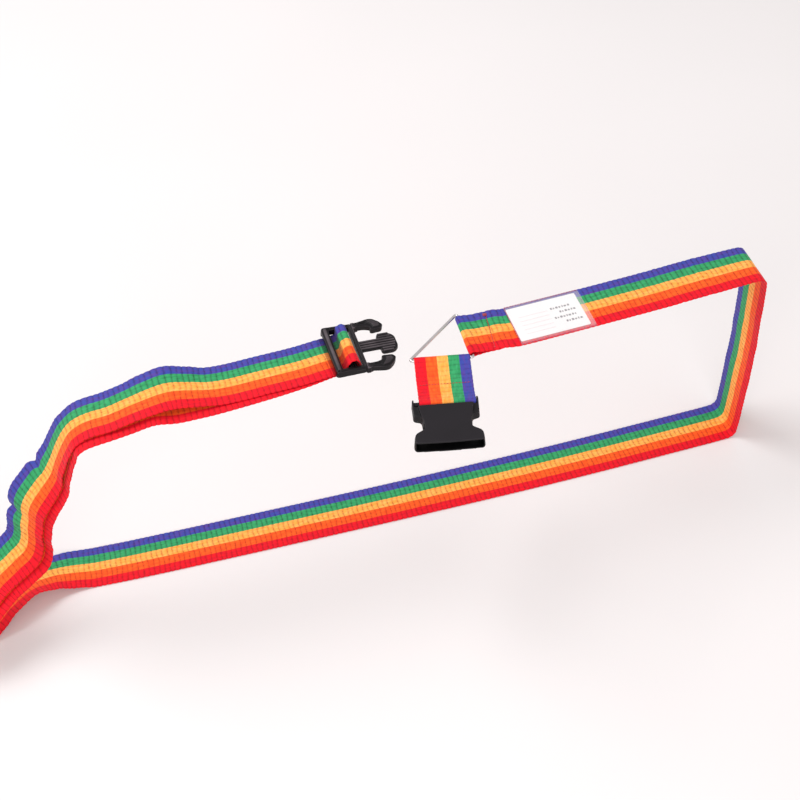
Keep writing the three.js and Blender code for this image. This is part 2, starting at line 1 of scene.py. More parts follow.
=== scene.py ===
"""Looks for the luggage strap: striped webbing, wire ring, buckle halves, card pocket, sewing."""
import json
import math

import bmesh
import bpy
import numpy as np
from mathutils import Matrix, Vector

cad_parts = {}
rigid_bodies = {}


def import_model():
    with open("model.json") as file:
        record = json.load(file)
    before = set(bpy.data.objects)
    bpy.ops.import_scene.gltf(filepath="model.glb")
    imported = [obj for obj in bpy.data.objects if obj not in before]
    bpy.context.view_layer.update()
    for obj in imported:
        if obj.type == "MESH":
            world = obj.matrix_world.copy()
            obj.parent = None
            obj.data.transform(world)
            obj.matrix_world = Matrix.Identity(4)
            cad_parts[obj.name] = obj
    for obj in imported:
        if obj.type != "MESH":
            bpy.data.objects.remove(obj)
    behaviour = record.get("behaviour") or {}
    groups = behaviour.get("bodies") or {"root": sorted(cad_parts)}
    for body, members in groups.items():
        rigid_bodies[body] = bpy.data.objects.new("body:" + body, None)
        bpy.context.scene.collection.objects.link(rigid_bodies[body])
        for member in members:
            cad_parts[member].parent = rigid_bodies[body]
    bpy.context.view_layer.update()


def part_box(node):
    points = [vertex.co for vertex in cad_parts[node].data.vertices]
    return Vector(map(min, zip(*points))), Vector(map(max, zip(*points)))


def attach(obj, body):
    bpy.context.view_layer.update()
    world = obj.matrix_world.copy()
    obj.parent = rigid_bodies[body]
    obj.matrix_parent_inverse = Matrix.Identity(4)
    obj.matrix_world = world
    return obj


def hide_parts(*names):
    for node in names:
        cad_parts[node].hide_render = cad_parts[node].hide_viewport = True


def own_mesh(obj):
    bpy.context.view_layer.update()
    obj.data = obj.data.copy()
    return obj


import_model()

# ---- Driving dimensions, in millimetres of the strap's own frame ----
MM = 0.001
WEB_WIDTH = 49
WEB_THICK = 1.4
GAP = 0.3
CASE_HEIGHT = 230
CASE_RIGHT = 635
CORNER_RADIUS = 8
HALF_THICK = WEB_THICK / 2
FLOOR_Z = HALF_THICK
LOWER_Z = CASE_HEIGHT + GAP + HALF_THICK
UPPER_Z = LOWER_Z + WEB_THICK + GAP
WEB_TOP = LOWER_Z + HALF_THICK

WIRE_RADIUS = 1.5
WIRE_LOOP = WIRE_RADIUS + GAP + HALF_THICK
WIRE_Z = LOWER_Z + WIRE_LOOP
RING_CORNER_RADIUS = 1.8
RING_BUTT = 3.4
RING_BUTT_GAP = 0.5
WIRE_CHAMFER = 0.4
WIRE_END_RADIUS = 1.125
RING_NEAR = Vector((338, -27, WIRE_Z))
RING_LEFT = Vector((281, -13.1, WIRE_Z))
RING_FAR = Vector((341.35, 29.6, WIRE_Z))
FOLD = (339.6, 0.1, WIRE_Z)
FOLD_YAW = -3.4

SHORT_YAW = -13.7
SHORT_ORIGIN = (310, -20.15)
SHORT_SPAN = 56
SOCKET_SHIFT = 2.3
BAR_RADIUS = 2.5
BAR_LOOP = BAR_RADIUS + GAP + HALF_THICK
SOCKET_BASE = CASE_HEIGHT + GAP
SOCKET_HEIGHT = 12
SOCKET_MOUTH = 49.5
SOCKET_BAR_RISE = 5.5

MALE_ORIGIN = (213, 17, 232.8)
MALE_YAW = -0.7
MALE_PITCH = 5

SLACK_RADIUS = 27
SLACK_YAW = 30
SLACK_BASE = (-171, -9)
SLACK_DRIFT = -14
TAIL_SHIFT_TOP = 8.5
TAIL_SHIFT_LOW = 9.6
TAIL_DEPTH = 3.4
HEM_TURN = HALF_THICK + GAP / 2

POCKET_LEFT = 385
POCKET_LENGTH = 75
POCKET_Y = -1
CARD_LENGTH = 69
CARD_WIDTH = 43
CARD_THICK = 0.5
CARD_INSET = 0.02               # of the visual card's two faces inside the CAD card

FULL_WIDTH = 51.2               # the top run lies flat, a little wider than where it is folded
SEAM_STATION = 10.15            # the ring seam's place on the long route, counted in stations

RIB_PITCH = 5.2
ROWS_PER_RIB = 9
GROOVE_SHARE = 0.50             # half thickness in a groove, as a share of that on a crest
CREST_FULLNESS = 0.6            # below 1 makes broad ribs with narrow grooves between them

# The name card's low corner ties the strap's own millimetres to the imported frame.
CARD_CORNER = Vector((POCKET_LEFT + 1 + GAP, POCKET_Y - CARD_WIDTH / 2, WEB_TOP + GAP))
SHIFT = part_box("name_card")[0] - CARD_CORNER * MM


def to_frame(point):
    """A point in the strap's own millimetres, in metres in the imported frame."""
    return Vector(point) * MM + SHIFT


# ---- Meshes ----
def linked_object(name, data):
    ob = bpy.data.objects.new(name, data)
    bpy.context.scene.collection.objects.link(ob)
    return ob


def new_mesh_object(name, points, faces, material, smooth=True):
    """An object from points in the strap's own millimetres, smooth or flat shaded."""
    mesh = bpy.data.meshes.new(name)
    placed = np.asarray(points, float) * MM + np.array(SHIFT)
    mesh.from_pydata(placed.tolist(), [], faces)
    mesh.materials.append(material)
    if smooth:
        mesh.shade_smooth()
    else:
        mesh.shade_flat()
    mesh.update()
    return linked_object(name, mesh)


def placed_object(name, mesh, placement, material):
    """An object from a mesh made in a piece's own millimetres, put in its place."""
    mesh.name = name
    mesh.transform(Matrix.Translation(SHIFT) @ Matrix.Scale(MM, 4) @ placement)
    mesh.materials.clear()
    mesh.materials.append(material)
    return linked_object(name, mesh)


def store(mesh, key, values):
    """One number for each point of the mesh, for its material to read."""
    layer = mesh.attributes.new(key, "FLOAT", "POINT")
    layer.data.foreach_set("value", np.asarray(values, np.float32).reshape(-1))


def loft(rings):
    """Points and faces of a closed solid through rings of equal count."""
    rings = np.asarray(rings, float)
    rows, sides = rings.shape[:2]
    faces = []
    for i in range(rows - 1):
        for j in range(sides):
            a = i * sides + j
            b = i * sides + (j + 1) % sides
            faces.append((a, b, b + sides, a + sides))
    faces.append(tuple(range(sides))[::-1])
    faces.append(tuple((rows - 1) * sides + j for j in range(sides)))
    return rings.reshape(-1, 3), faces


def together(solids):
    """Points and faces of several solids as one mesh."""
    points, faces = [], []
    for solid_points, solid_faces in solids:
        base = len(points)
        points.extend(solid_points.tolist())
        faces.extend(tuple(i + base for i in face) for face in solid_faces)
    return points, faces


def unit(vectors):
    return vectors / np.linalg.norm(vectors, axis=-1, keepdims=True)


def rod_rings(points, radii, sides):
    """Rings of a round rod along points, kept square to the path."""
    points = np.asarray(points, float)
    tangents = unit(np.gradient(points, axis=0))
    side = np.array([0.0, 0.0, 1.0])
    if abs(tangents[0] @ side) > 0.9:
        side = np.array([0.0, 1.0, 0.0])
    turns = np.arange(sides) * 2 * math.pi / sides
    cosines, sines = np.cos(turns), np.sin(turns)
    rings = []
    for point, tangent, radius in zip(points, tangents, radii):
        across = unit(side - tangent * (side @ tangent))
        normal = np.cross(tangent, across)
        side = across
        rings.append(point + radius * (np.outer(cosines, across) + np.outer(sines, normal)))
    return rings


# ---- Node materials ----
class Look:
    """A node material with a Principled shader, and short calls to add nodes to it."""

    def __init__(self, name, **values):
        self.material = bpy.data.materials.new(name)
        self.material.use_nodes = True
        self.tree = self.material.node_tree
        self.shader = self.tree.nodes["Principled BSDF"]
        for socket, value in values.items():
            self.shader.inputs[socket.replace("_", " ")].default_value = value

    def node(self, kind, **settings):
        made = self.tree.nodes.new("ShaderNode" + kind)
        for key, value in settings.items():
            setattr(made, key, value)
        return made

    def join(self, source, target):
        self.tree.links.new(source, target)

    def feed(self, node, key, value):
        if isinstance(value, bpy.types.NodeSocket):
            self.join(value, node.inputs[key])
        elif value is not None:
            node.inputs[key].default_value = value

    def shade(self, socket, value):
        """Feed one of the shader's own sockets."""
        self.feed(self.shader, socket, value)

    def attribute(self, name):
        return self.node("Attribute", attribute_name=name).outputs["Fac"]

    def maths(self, operation, a, b=None, clamp=False):
        made = self.node("Math", operation=operation, use_clamp=clamp)
        self.feed(made, 0, a)
        self.feed(made, 1, b)
        return made.outputs[0]

    def combine(self, x, y, z=0.0):
        made = self.node("CombineXYZ")
        for key, value in enumerate((x, y, z)):
            self.feed(made, key, value)
        return made.outputs[0]

    def noise(self, vector, scale, detail=2.0):
        made = self.node("TexNoise")
        self.feed(made, "Vector", vector)
        self.feed(made, "Scale", scale)
        self.feed(made, "Detail", detail)
        return made.outputs["Fac"]

    def cloth_noise(self, stretch, scale, detail=2.0):
        """Noise over a webbing, with its along and across directions stretched apart."""
        along = self.maths("MULTIPLY", self.attribute("along"), stretch[0])
        across = self.maths("MULTIPLY", self.attribute("across"), stretch[1])
        return self.noise(self.combine(along, across), scale, detail)

    def object_place(self):
        return self.node("TexCoord").outputs["Object"]

    def ramp(self, value, stops, interpolation="LINEAR"):
        made = self.node("ValToRGB")
        made.color_ramp.interpolation = interpolation
        elements = made.color_ramp.elements
        while len(elements) < len(stops):
            elements.new(0.5)
        for element, (place, colour) in zip(elements, stops):
            element.position = place
            element.color = (*colour, 1)
        self.join(value, made.inputs[0])
        return made.outputs[0]

    def mix(self, share, a, b, blend="MIX"):
        made = self.node("Mix", data_type="RGBA", blend_type=blend)
        self.feed(made, 0, share)
        self.feed(made, 6, a)
        self.feed(made, 7, b)
        return made.outputs[2]

    def spread(self, value, low, high, from_low=0.0, from_high=1.0):
        """The value's span from_low to from_high, stretched to low to high."""
        made = self.node("MapRange")
        self.join(value, made.inputs[0])
        for key, number in enumerate((from_low, from_high, low, high), 1):
            made.inputs[key].default_value = number
        return made.outputs[0]

    def bump(self, height, strength, distance):
        made = self.node("Bump")
        self.feed(made, "Height", height)
        self.feed(made, "Strength", strength)
        self.feed(made, "Distance", distance)
        self.shade("Normal", made.outputs[0])


CORD_PITCH = 0.85                   # of the fine cords that run along the webbing
WHITE = (1.0, 1.0, 1.0)
GROOVE_SHADE = (0.50, 0.33, 0.38)   # what a groove's colour is multiplied by
SLOPE_SHADE = (0.84, 0.75, 0.78)
STRIPES = (                         # red edge to blue edge: main colour, and its other thread
    ((0.84, 0.003, 0.012), (0.66, 0.002, 0.020)),
    ((0.95, 0.125, 0.012), (0.88, 0.065, 0.008)),
    ((0.96, 0.35, 0.045), (0.98, 0.50, 0.13)),
    ((0.040, 0.37, 0.135), (0.018, 0.25, 0.085)),
    ((0.034, 0.064, 0.36), (0.10, 0.045, 0.30)),
)


def webbing_look():
    """Five stripes, painted shade in the grooves between the ribs, fine threads across and along."""
    look = Look("webbing", Roughness=0.68, Sheen_Weight=0.08, Sheen_Roughness=0.4, Specular_IOR_Level=0.2)
    across = look.attribute("across")
    crest = look.attribute("crest")
    ragged = look.cloth_noise((0.55, 1.0), 3.0, 1.0)
    place = look.maths("ADD", look.maths("ADD", across, 0.5), look.spread(ragged, -0.008, 0.008))
    edges = [i / len(STRIPES) for i in range(len(STRIPES))]
    main, other = (look.ramp(place, list(zip(edges, colours)), "CONSTANT") for colours in zip(*STRIPES))
    patches = look.cloth_noise((0.045, 9.0), 2.2, 3.0)
    colour = look.mix(look.spread(patches, 0.0, 0.85, 0.38, 0.68), main, other)
    threads = look.cloth_noise((0.9, 110.0), 1.6)
    colour = look.mix(look.spread(threads, 0.0, 0.32, 0.45, 0.75), colour, other)
    # Painted shade: the colour is darkened in the grooves and on the slopes of the ribs, unevenly along
    # the webbing.
    uneven = look.cloth_noise((0.16, 14.0), 1.4)
    height = look.maths("ADD", crest, look.spread(uneven, -0.22, 0.22, 0.3, 0.7), clamp=True)
    shade = look.ramp(height, [(0.0, GROOVE_SHADE), (0.5, SLOPE_SHADE), (0.88, WHITE)])
    look.shade("Base Color", look.mix(1.0, colour, shade, "MULTIPLY"))
    cord = look.maths("SINE", look.maths("MULTIPLY", across, 2 * math.pi * WEB_WIDTH / CORD_PITCH))
    fuzz = look.cloth_noise((2.4, 120.0), 1.5)
    look.bump(look.maths("ADD", look.maths("MULTIPLY", cord, 0.35), fuzz), 0.45, 0.12 * MM)
    return look.material


def thread_look(name, colour):
    look = Look(name, Roughness=0.55, Sheen_Weight=0.3)
    grain = look.noise(look.object_place(), 2600.0, 2.0)
    dark = tuple(c * 0.55 for c in colour)
    look.shade("Base Color", look.ramp(grain, [(0.35, dark), (0.7, colour)]))
    look.bump(grain, 0.5, 0.05 * MM)
    return look.material


def plastic_look(name, colour, wear_and_highlight_colour, roughness):
    """Moulded plastic: fine grain, faint flow marks, paler rubbed edges and painted light.

    Where a point attribute is above 0 it paints a highlight, paler; where it is below 0 it paints shade,
    darker.
    """
    look = Look(name, Specular_IOR_Level=0.2)
    place = look.object_place()
    grain = look.noise(place, 2400.0, 2.0)
    flow = look.noise(place, 60.0, 3.0)
    edge = look.spread(look.node("NewGeometry").outputs["Pointiness"], 0.0, 1.0, 0.515, 0.58)
    painted_light = look.attribute("painted_light")
    # Below 0 the attribute is painted shade, which darkens the base colour.
    unshaded = look.maths("ADD", look.maths("MINIMUM", painted_light, 0.0), 1.0)
    # Above 0 it is a painted highlight, mixed in with the paler rubbed edges.
    wear_and_highlight_mask = look.maths("MULTIPLY", look.maths("MAXIMUM", edge, painted_light), unshaded)
    wear_and_highlight = look.maths("MULTIPLY", wear_and_highlight_mask, look.spread(flow, 0.35, 1.0, 0.35, 0.65), clamp=True)
    base = look.ramp(flow, [(0.3, tuple(c * 0.82 for c in colour)), (0.7, colour)])
    base = look.mix(1.0, base, look.combine(unshaded, unshaded, unshaded), "MULTIPLY")
    look.shade("Base Color", look.mix(wear_and_highlight, base, (*wear_and_highlight_colour, 1)))
    look.shade("Roughness", look.spread(flow, roughness - 0.06, roughness + 0.08, 0.3, 0.7))
    look.bump(look.maths("ADD", grain, look.maths("MULTIPLY", flow, 0.6)), 0.22, 0.08 * MM)
    return look.material


def wire_look():
    look = Look("bright_wire", Metallic=1.0)
    place = look.object_place()
    scratch = look.noise(place, 700.0, 3.0)
    tarnish = look.noise(place, 90.0, 2.0)
    look.shade("Base Color", look.ramp(tarnish, [(0.3, (0.56, 0.52, 0.52)), (0.7, (0.72, 0.69, 0.69))]))
    look.shade("Roughness", look.spread(scratch, 0.17, 0.27, 0.3, 0.7))
    look.bump(scratch, 0.03, 0.02 * MM)
    return look.material


def film_look():
    """Clear vinyl with soft gloss: neutral over the card, pinker where it is sewn down."""
    look = Look("clear_vinyl", Alpha=0.14, IOR=1.5)
    place = look.object_place()
    haze = look.noise(place, 70.0, 3.0)
    over_card = look.ramp(haze, [(0.35, (0.93, 0.86, 0.88)), (0.65, (0.98, 0.95, 0.95))])
    sewn_down = look.ramp(haze, [(0.35, (0.95, 0.42, 0.50)), (0.65, (0.98, 0.60, 0.66))])
    look.shade("Base Color", look.mix(look.attribute("margin"), over_card, sewn_down))
    look.shade("Roughness", look.spread(haze, 0.10, 0.24, 0.3, 0.7))
    look.bump(haze, 0.25, 0.3 * MM)
    return look.material


def paper_look(name, colour, shadow):
    look = Look(name, Roughness=0.5)
    fibre = look.noise(look.object_place(), 1500.0, 3.0)
    look.shade("Base Color", look.ramp(fibre, [(0.3, shadow), (0.7, colour)]))
    look.bump(fibre, 0.08, 0.03 * MM)
    return look.material


WEBBING = webbing_look()
SEAM_THREAD = thread_look("crimson_thread", (0.42, 0.012, 0.045))
RED_THREAD = thread_look("red_thread", (0.62, 0.03, 0.035))
POCKET_THREAD = thread_look("magenta_thread", (0.48, 0.05, 0.16))
# The second colour is the paler one of rubbed edges and of painted highlights.
SOCKET_PLASTIC = plastic_look("socket_charcoal", (0.0115, 0.0088, 0.0120), (0.045, 0.040, 0.047), 0.52)
MALE_PLASTIC = plastic_look("male_charcoal", (0.0050, 0.0036, 0.0050), (0.098, 0.080, 0.089), 0.38)
WIRE = wire_look()
FILM = film_look()
CARD = paper_look("card_white", (0.86, 0.845, 0.84), (0.81, 0.795, 0.79))
INK = paper_look("grey_ink", (0.14, 0.14, 0.16), (0.08, 0.08, 0.09))
FAINT_INK = paper_look("faint_ink", (0.66, 0.52, 0.55), (0.58, 0.46, 0.49))


# ---- Webbing routes ----
def heading(degrees):
    """The x and y of a unit vector that is turned by so many degrees from +X."""
    return (math.cos(math.radians(degrees)), math.sin(math.radians(degrees)))


def station(x, y, z, yaw=0.0, tilt=0.0):
    """One place on a webbing: its centre, and the yaw and tilt of its width in degrees."""
    return (x, y, z, yaw, tilt)


def run_of(*places):
    """A run of the webbing, from the numbers of its stations."""
    return [station(*place) for place in places]


def arc_stations(centre, direction, radius, from_angle, to_angle, steps, yaw):
    """Stations on an arc in a vertical plane; 0 degrees is along direction, 90 is up."""
    stations = []
    for i in range(steps + 1):
        angle = math.radians(from_angle + (to_angle - from_angle) * i / steps)
        reach = radius * math.cos(angle)
        x = centre[0] + direction[0] * reach
        y = centre[1] + direction[1] * reach
        stations.append(station(x, y, centre[2] + radius * math.sin(angle), yaw))
    return stations


def route_points(places, t):
    """Points on a centripetal Catmull-Rom curve; t counts stations from 0."""
    index = np.minimum(t.astype(int), len(places) - 2)
    weight = (t - index)[:, None]
    longer = np.vstack([2 * places[0] - places[1], places, 2 * places[-1] - places[-2]])
    p0, p1, p2, p3 = (longer[index + k] for k in range(4))
    spans = (p1 - p0, p2 - p1, p3 - p2)
    d0, d1, d2 = (np.linalg.norm(span, axis=1)[:, None] ** 0.5 for span in spans)
    leave = ((p1 - p0) / d0 - (p2 - p0) / (d0 + d1) + (p2 - p1) / d1) * d1
    enter = ((p2 - p1) / d1 - (p3 - p1) / (d1 + d2) + (p3 - p2) / d2) * d1
    square = -3 * p1 + 3 * p2 - 2 * leave - enter
    cube = 2 * p1 - 2 * p2 + leave + enter
    return p1 + leave * weight + square * weight ** 2 + cube * weight ** 3


def route_frames(stations, t):
    """Centre, across and outward vectors of the webbing at t."""
    stations = np.array(stations, float)
    places = stations[:, :3]
    last = len(places) - 1
    t = np.clip(np.asarray(t, float), 0, last)
    step = 1e-3
    centre = route_points(places, t)
    ahead = route_points(places, np.minimum(t + step, last))
    behind = route_points(places, np.maximum(t - step, 0))
    tangent = unit(ahead - behind)
    index = np.minimum(t.astype(int), last - 1)
    share = t - index
    share = share * share * (3 - 2 * share)
    turns = stations[index, 3:] + (stations[index + 1, 3:] - stations[index, 3:]) * share[:, None]
    yaw, tilt = np.radians(turns).T
    across = np.stack([-np.sin(yaw) * np.cos(tilt), np.cos(yaw) * np.cos(tilt), np.sin(tilt)], axis=1)
    across = unit(across - tangent * (across * tangent).sum(1, keepdims=True))
    return centre, across, np.cross(tangent, across)


MALE_PLACEMENT = (
    Matrix.Translation(MALE_ORIGIN)
    @ Matrix.Rotation(math.radians(MALE_YAW), 4, "Z")
    @ Matrix.Rotation(math.radians(MALE_PITCH), 4, "Y")
)


def male_station(u, w):
    """A station in the male half's own frame: u towards its tip, w up from its base."""
    place = MALE_PLACEMENT @ Vector((u, 0, w))
    return station(place.x, place.y, place.z, MALE_YAW)


PLUS_X = (1, 0)
OUTER_RADIUS = CORNER_RADIUS + GAP + HALF_THICK
CORNER_X = CASE_RIGHT - CORNER_RADIUS
SLACK_HEADING = heading(SLACK_YAW + 180)

ring_fold = [
    station(368, 0, LOWER_Z, -6),
    station(352, 0.6, LOWER_Z, -4),
    *arc_stations(FOLD, PLUS_X, WIRE_LOOP, 270, 90, 6, FOLD_YAW),
    station(352, 0.6, UPPER_Z + 0.6, -4),
    station(362, 0.2, UPPER_Z, -5),
    station(373, -0.4, UPPER_Z - 0.1, -4),
]
top_run = run_of(
    (381, -1, LOWER_Z + 0.4),
    (388, -1, LOWER_Z),
    (460, -0.5, LOWER_Z),
    (536, 0.6, LOWER_Z, 1),
    (560, 1.2, LOWER_Z + 0.5, 1),
    (585, 1.9, LOWER_Z + 0.3, 1),
)
right_corner = arc_stations(
    (CORNER_X, 2.5, CASE_HEIGHT - CORNER_RADIUS), PLUS_X, OUTER_RADIUS, 90, 0, 4, 0,
)
right_drop = run_of((638, 2.8, 160), (639, 3, 115), (638, 3, 70))
floor_corner = arc_stations(
    (CORNER_X, 3, FLOOR_Z + OUTER_RADIUS + 0.2), PLUS_X, OUTER_RADIUS, 0, -90, 4, -1,
)
floor_run = run_of(
    (602, 3.1, FLOOR_Z, -1),
    (585, 3.4, FLOOR_Z, -1),
    (450, 6, FLOOR_Z, -2),
    (300, 12, FLOOR_Z, -3),
    (150, 20, FLOOR_Z, -4),
    (0, 29, FLOOR_Z, -4),
    (-30, 31.5, FLOOR_Z, -3),
)
floor_return = run_of(
    (-42, 32.6, FLOOR_Z + 0.1, -2),
    (-62, 34.5, 3.6, 0, -3),
    (-84, 33.5, 7.6, 8, -10),
    (-108, 26, 11.6, 17, -18),
    (-130, 15, 10, 25, -13),
    (-148, 4.5, 5, 30, -5),
    (-160, -2.5, FLOOR_Z + 0.5, SLACK_YAW),
    (-166, -6, FLOOR_Z + 0.1, SLACK_YAW),
)
SLACK_STEPS = 8
slack_centre = (*SLACK_BASE, FLOOR_Z + SLACK_RADIUS + 0.2)
slack_arc = arc_stations(slack_centre, SLACK_HEADING, SLACK_RADIUS, -90, 90, SLACK_STEPS, SLACK_YAW)
slack_turn = [
    station(x, y + SLACK_DRIFT * i / SLACK_STEPS, z, yaw)
    for i, (x, y, z, yaw, _) in enumerate(slack_arc)
]
droop = run_of(
    (-151, -13, 60, 31),
    (-131, -1, 71.5, 33, 3),
    (-110, 4, 85, 35, 2),
    (-97, 5, 96.5, 36, 1),
    (-92, 6, 109, 36, -3),
    (-90, 7, 121, 34, -4),
    (-86, 9, 132, 31, 0),
    (-84.5, 9.5, 141, 31, 8),
    (-80, 9.5, 152, 28, 12),
    (-67, 12, 167, 20, 13),
    (-54.5, 13.5, 180.5, 12, 12),
    (-46, 15, 197, 6, 8),
    (-35.5, 16, 216, 3, 4),
)
left_corner = run_of(
    (-27.5, 17, 224.8),
    (-18, 17, 230.8),
    (-8, 17, 233.4),
    (7, 16.5, 235),
    (27, 17, 238.7),
    (46, 18, 242.2, 0, 5),
    (65, 19, 243.2, 0, 8),
    (85, 18, 238.4, 0, 4),
    (101, 17, 234),
    (117, 16, UPPER_Z),
)
slide_strip = [*run_of((150, 15.8, UPPER_Z, -1), (185, 15.7, UPPER_Z, -3)), male_station(-2, 0.1)]
LOOP_PROFILE = (
    (4, 0.4), (8, 2.2), (10.7, 6), (12.4, 10.4), (15, 13.8), (18.2, 14.8), (21.2, 13.4), (23.3, 10),
    (24.1, 6.4), (23.8, 3.6), (22.2, 1.4), (19.4, 0.3), (14, -0.4), (4, -1.3), (-2, -1.7),
)
bar_loop = [male_station(u, w) for u, w in LOOP_PROFILE]
tail_strip = run_of((185, 13.5, LOWER_Z, -3), (150, 10.5, LOWER_Z, -1), (117, 9, LOWER_Z))
tail_bulge = run_of(
    (101, 8.6, LOWER_Z),
    (85, 8.5, LOWER_Z + 0.3),
    (65, 9, 232.2),
    (46, 10, 235.6),
    (27, 9.5, 233.4),
    (7, 8.8, 231.6),
    (-8, 8.5, 230.6),
    (-18, 8.5, 228.2),
    (-26, 8.5, 222.6),
)


def tail_behind_droop():
    """The tail hangs just behind the outer layer, so its stations follow from that layer."""
    outer = [slack_turn[-1], *droop, left_corner[0]]
    indices = list(range(len(droop), 0, -1))
    centre, across, normal = route_frames(outer, indices)
    stations = []
    for k, index in enumerate(indices):
        shift = TAIL_SHIFT_LOW + (TAIL_SHIFT_TOP - TAIL_SHIFT_LOW) * index / len(droop)
        place = centre[k] - across[k] * shift - normal[k] * TAIL_DEPTH
        stations.append(station(*place, *outer[index][3:]))
    return stations


tail_droop = tail_behind_droop()


def hem_reach(along, z):
    x, y = tail_droop[-1][:2]
    return station(x + SLACK_HEADING[0] * along, y + SLACK_HEADING[1] * along, z, SLACK_YAW)


HEM_Z = SLACK_RADIUS * 2 + FLOOR_Z - TAIL_DEPTH
hem_end = hem_reach(22, HEM_Z)
tail_hem = [
    hem_reach(8, HEM_Z + 0.8),
    hem_end,
    *arc_stations((*hem_end[:2], HEM_Z - HEM_TURN), SLACK_HEADING, HEM_TURN, 90, -90, 4, SLACK_YAW)[1:],
    hem_reach(10, HEM_Z - 2 * HEM_TURN + 0.5),
]

# Runs in order, with the size in millimetres of the small waves that a loose run has.
LONG_RUNS = [
    ("webbing_ring_fold", ring_fold, 0.0),
    ("webbing_top_run", top_run, 0.0),
    ("webbing_right_corner", right_corner, 0.0),
    ("webbing_right_drop", right_drop, 0.5),
    ("webbing_floor_corner", floor_corner, 0.1),
    ("webbing_floor_run", floor_run, 0.0),
    ("webbing_floor_return", floor_return, 0.1),
    ("webbing_slack_turn", slack_turn, 0.1),
    ("webbing_droop", droop, 0.6),
    ("webbing_left_corner", left_corner, 0.3),
    ("webbing_slide_strip", slide_strip, 0.0),
    ("webbing_bar_loop", bar_loop, 0.0),
    ("tail_slide_strip", tail_strip, 0.0),
    ("tail_left_corner", tail_bulge, 0.2),
    ("tail_droop", tail_droop, 0.6),
    ("tail_hem", tail_hem, 0.0),
]

SHORT_ALONG = heading(SHORT_YAW - 90)
SHORT_ACROSS = heading(SHORT_YAW)


def short_place(s, e, z):
    """A point of the short strap: s from the ring to the socket, e across, z its height."""
    x = SHORT_ORIGIN[0] + SHORT_ALONG[0] * s + SHORT_ACROSS[0] * e
    y = SHORT_ORIGIN[1] + SHORT_ALONG[1] * s + SHORT_ACROSS[1] * e
    return (x, y, z)


def short_station(s, z):
    return station(*short_place(s, 0, z), SHORT_YAW - 90)


def on_circle(s, z, radius, angles):
    places = []
    for angle in angles:
        turn = math.radians(angle)
        places.append(short_station(s + radius * math.cos(turn), z + radius * math.sin(turn)))
    return places


short_loop = [
    short_station(29, LOWER_Z),
    short_station(10, LOWER_Z),
    *on_circle(0, WIRE_Z, WIRE_LOOP, (270, 240, 210, 180, 150, 120, 90)),
    short_station(9, UPPER_Z + 1.9),
    short_station(18, UPPER_Z + 0.3),
    short_station(36, UPPER_Z + 0.3),
    short_station(47, UPPER_Z + 3),
    *on_circle(SHORT_SPAN, SOCKET_BASE + SOCKET_BAR_RISE, BAR_LOOP, (90, 60, 30, 0, -30, -60, -90)),
    short_station(45, LOWER_Z + 0.1),
    short_station(29.6, LOWER_Z),
]


# ---- Webbing meshes ----
ROUTE_SAMPLES = 4000
LOOP_WALLS = (12.7, 21.7)           # of the loop over the ladder bar, in the male half's x
WINDOW_SHADE = (7.0, 13.5)          # heights between which that loop is less and less dark
SHORT_SEAM_ALONG = 56.5             # place of the short loop's seam along its own length
SHORT_SEAM_WIDTH = 50.6
TOP_CREASES = (                     # place before the corner, slant, height
    (8, 4, 0.45), (42, -7, 0.45), (64, 6, 0.2), (88, -4, 0.2),
)
DROOP_NICKS = (                     # station in the droop, half width, depth
    (9.6, 4.0, 3.4), (5.9, 3.5, 2.6),
)
SELVEDGE = (0.494, 0.478, 0.462)    # columns near an edge, as shares of the width from the middle
EDGE_FULLNESS = dict(zip(SELVEDGE, (0.72, 1.06, 0.9)))
COLUMNS = np.concatenate([-np.array(SELVEDGE), np.linspace(-0.43, 0.43, 12), SELVEDGE[::-1]])
STRIPE_OFFSETS = np.array([0.0, 0.10, -0.08, 0.07, -0.05])
GROOVE_PULL = 0.45                  # how far a groove draws in the webbing's edge
PULLED_FROM = 0.47                  # columns from here to the edge are drawn in


def rib_crest(along, across):
    """0 in a groove and 1 on a crest. Each stripe's ribs run a little ahead or behind."""
    stripe = np.clip(((across + 0.5) * len(STRIPES)).astype(int), 0, len(STRIPES) - 1)
    sway = 0.06 * np.sin(along * 0.11 + across * 5) + 0.05 * np.sin(along * 0.37 - across * 11)
    phase = along / RIB_PITCH + STRIPE_OFFSETS[stripe] + sway
    return np.abs(np.sin(math.pi * phase)) ** CREST_FULLNESS


def smooth_step(x, low, high):
    t = np.clip((x - low) / (high - low), 0, 1)
    return t * t * (3 - 2 * t)


def small_waves(along, across):
    """Smooth waves of about unit size along and across a loose webbing."""
    return (
        0.55 * np.sin(along / 9.0 + 2.2 * across)
        + 0.30 * np.sin(along / 4.3 - 5.0 * across + 1.0)
        + 0.35 * np.sin(along / 15.0 + 1.7) * np.sin(6.0 * across)
    )


def distances(points):
    """How far along the path each of its points is."""
    return np.concatenate([[0], np.cumsum(np.linalg.norm(np.diff(points, axis=0), axis=1))])


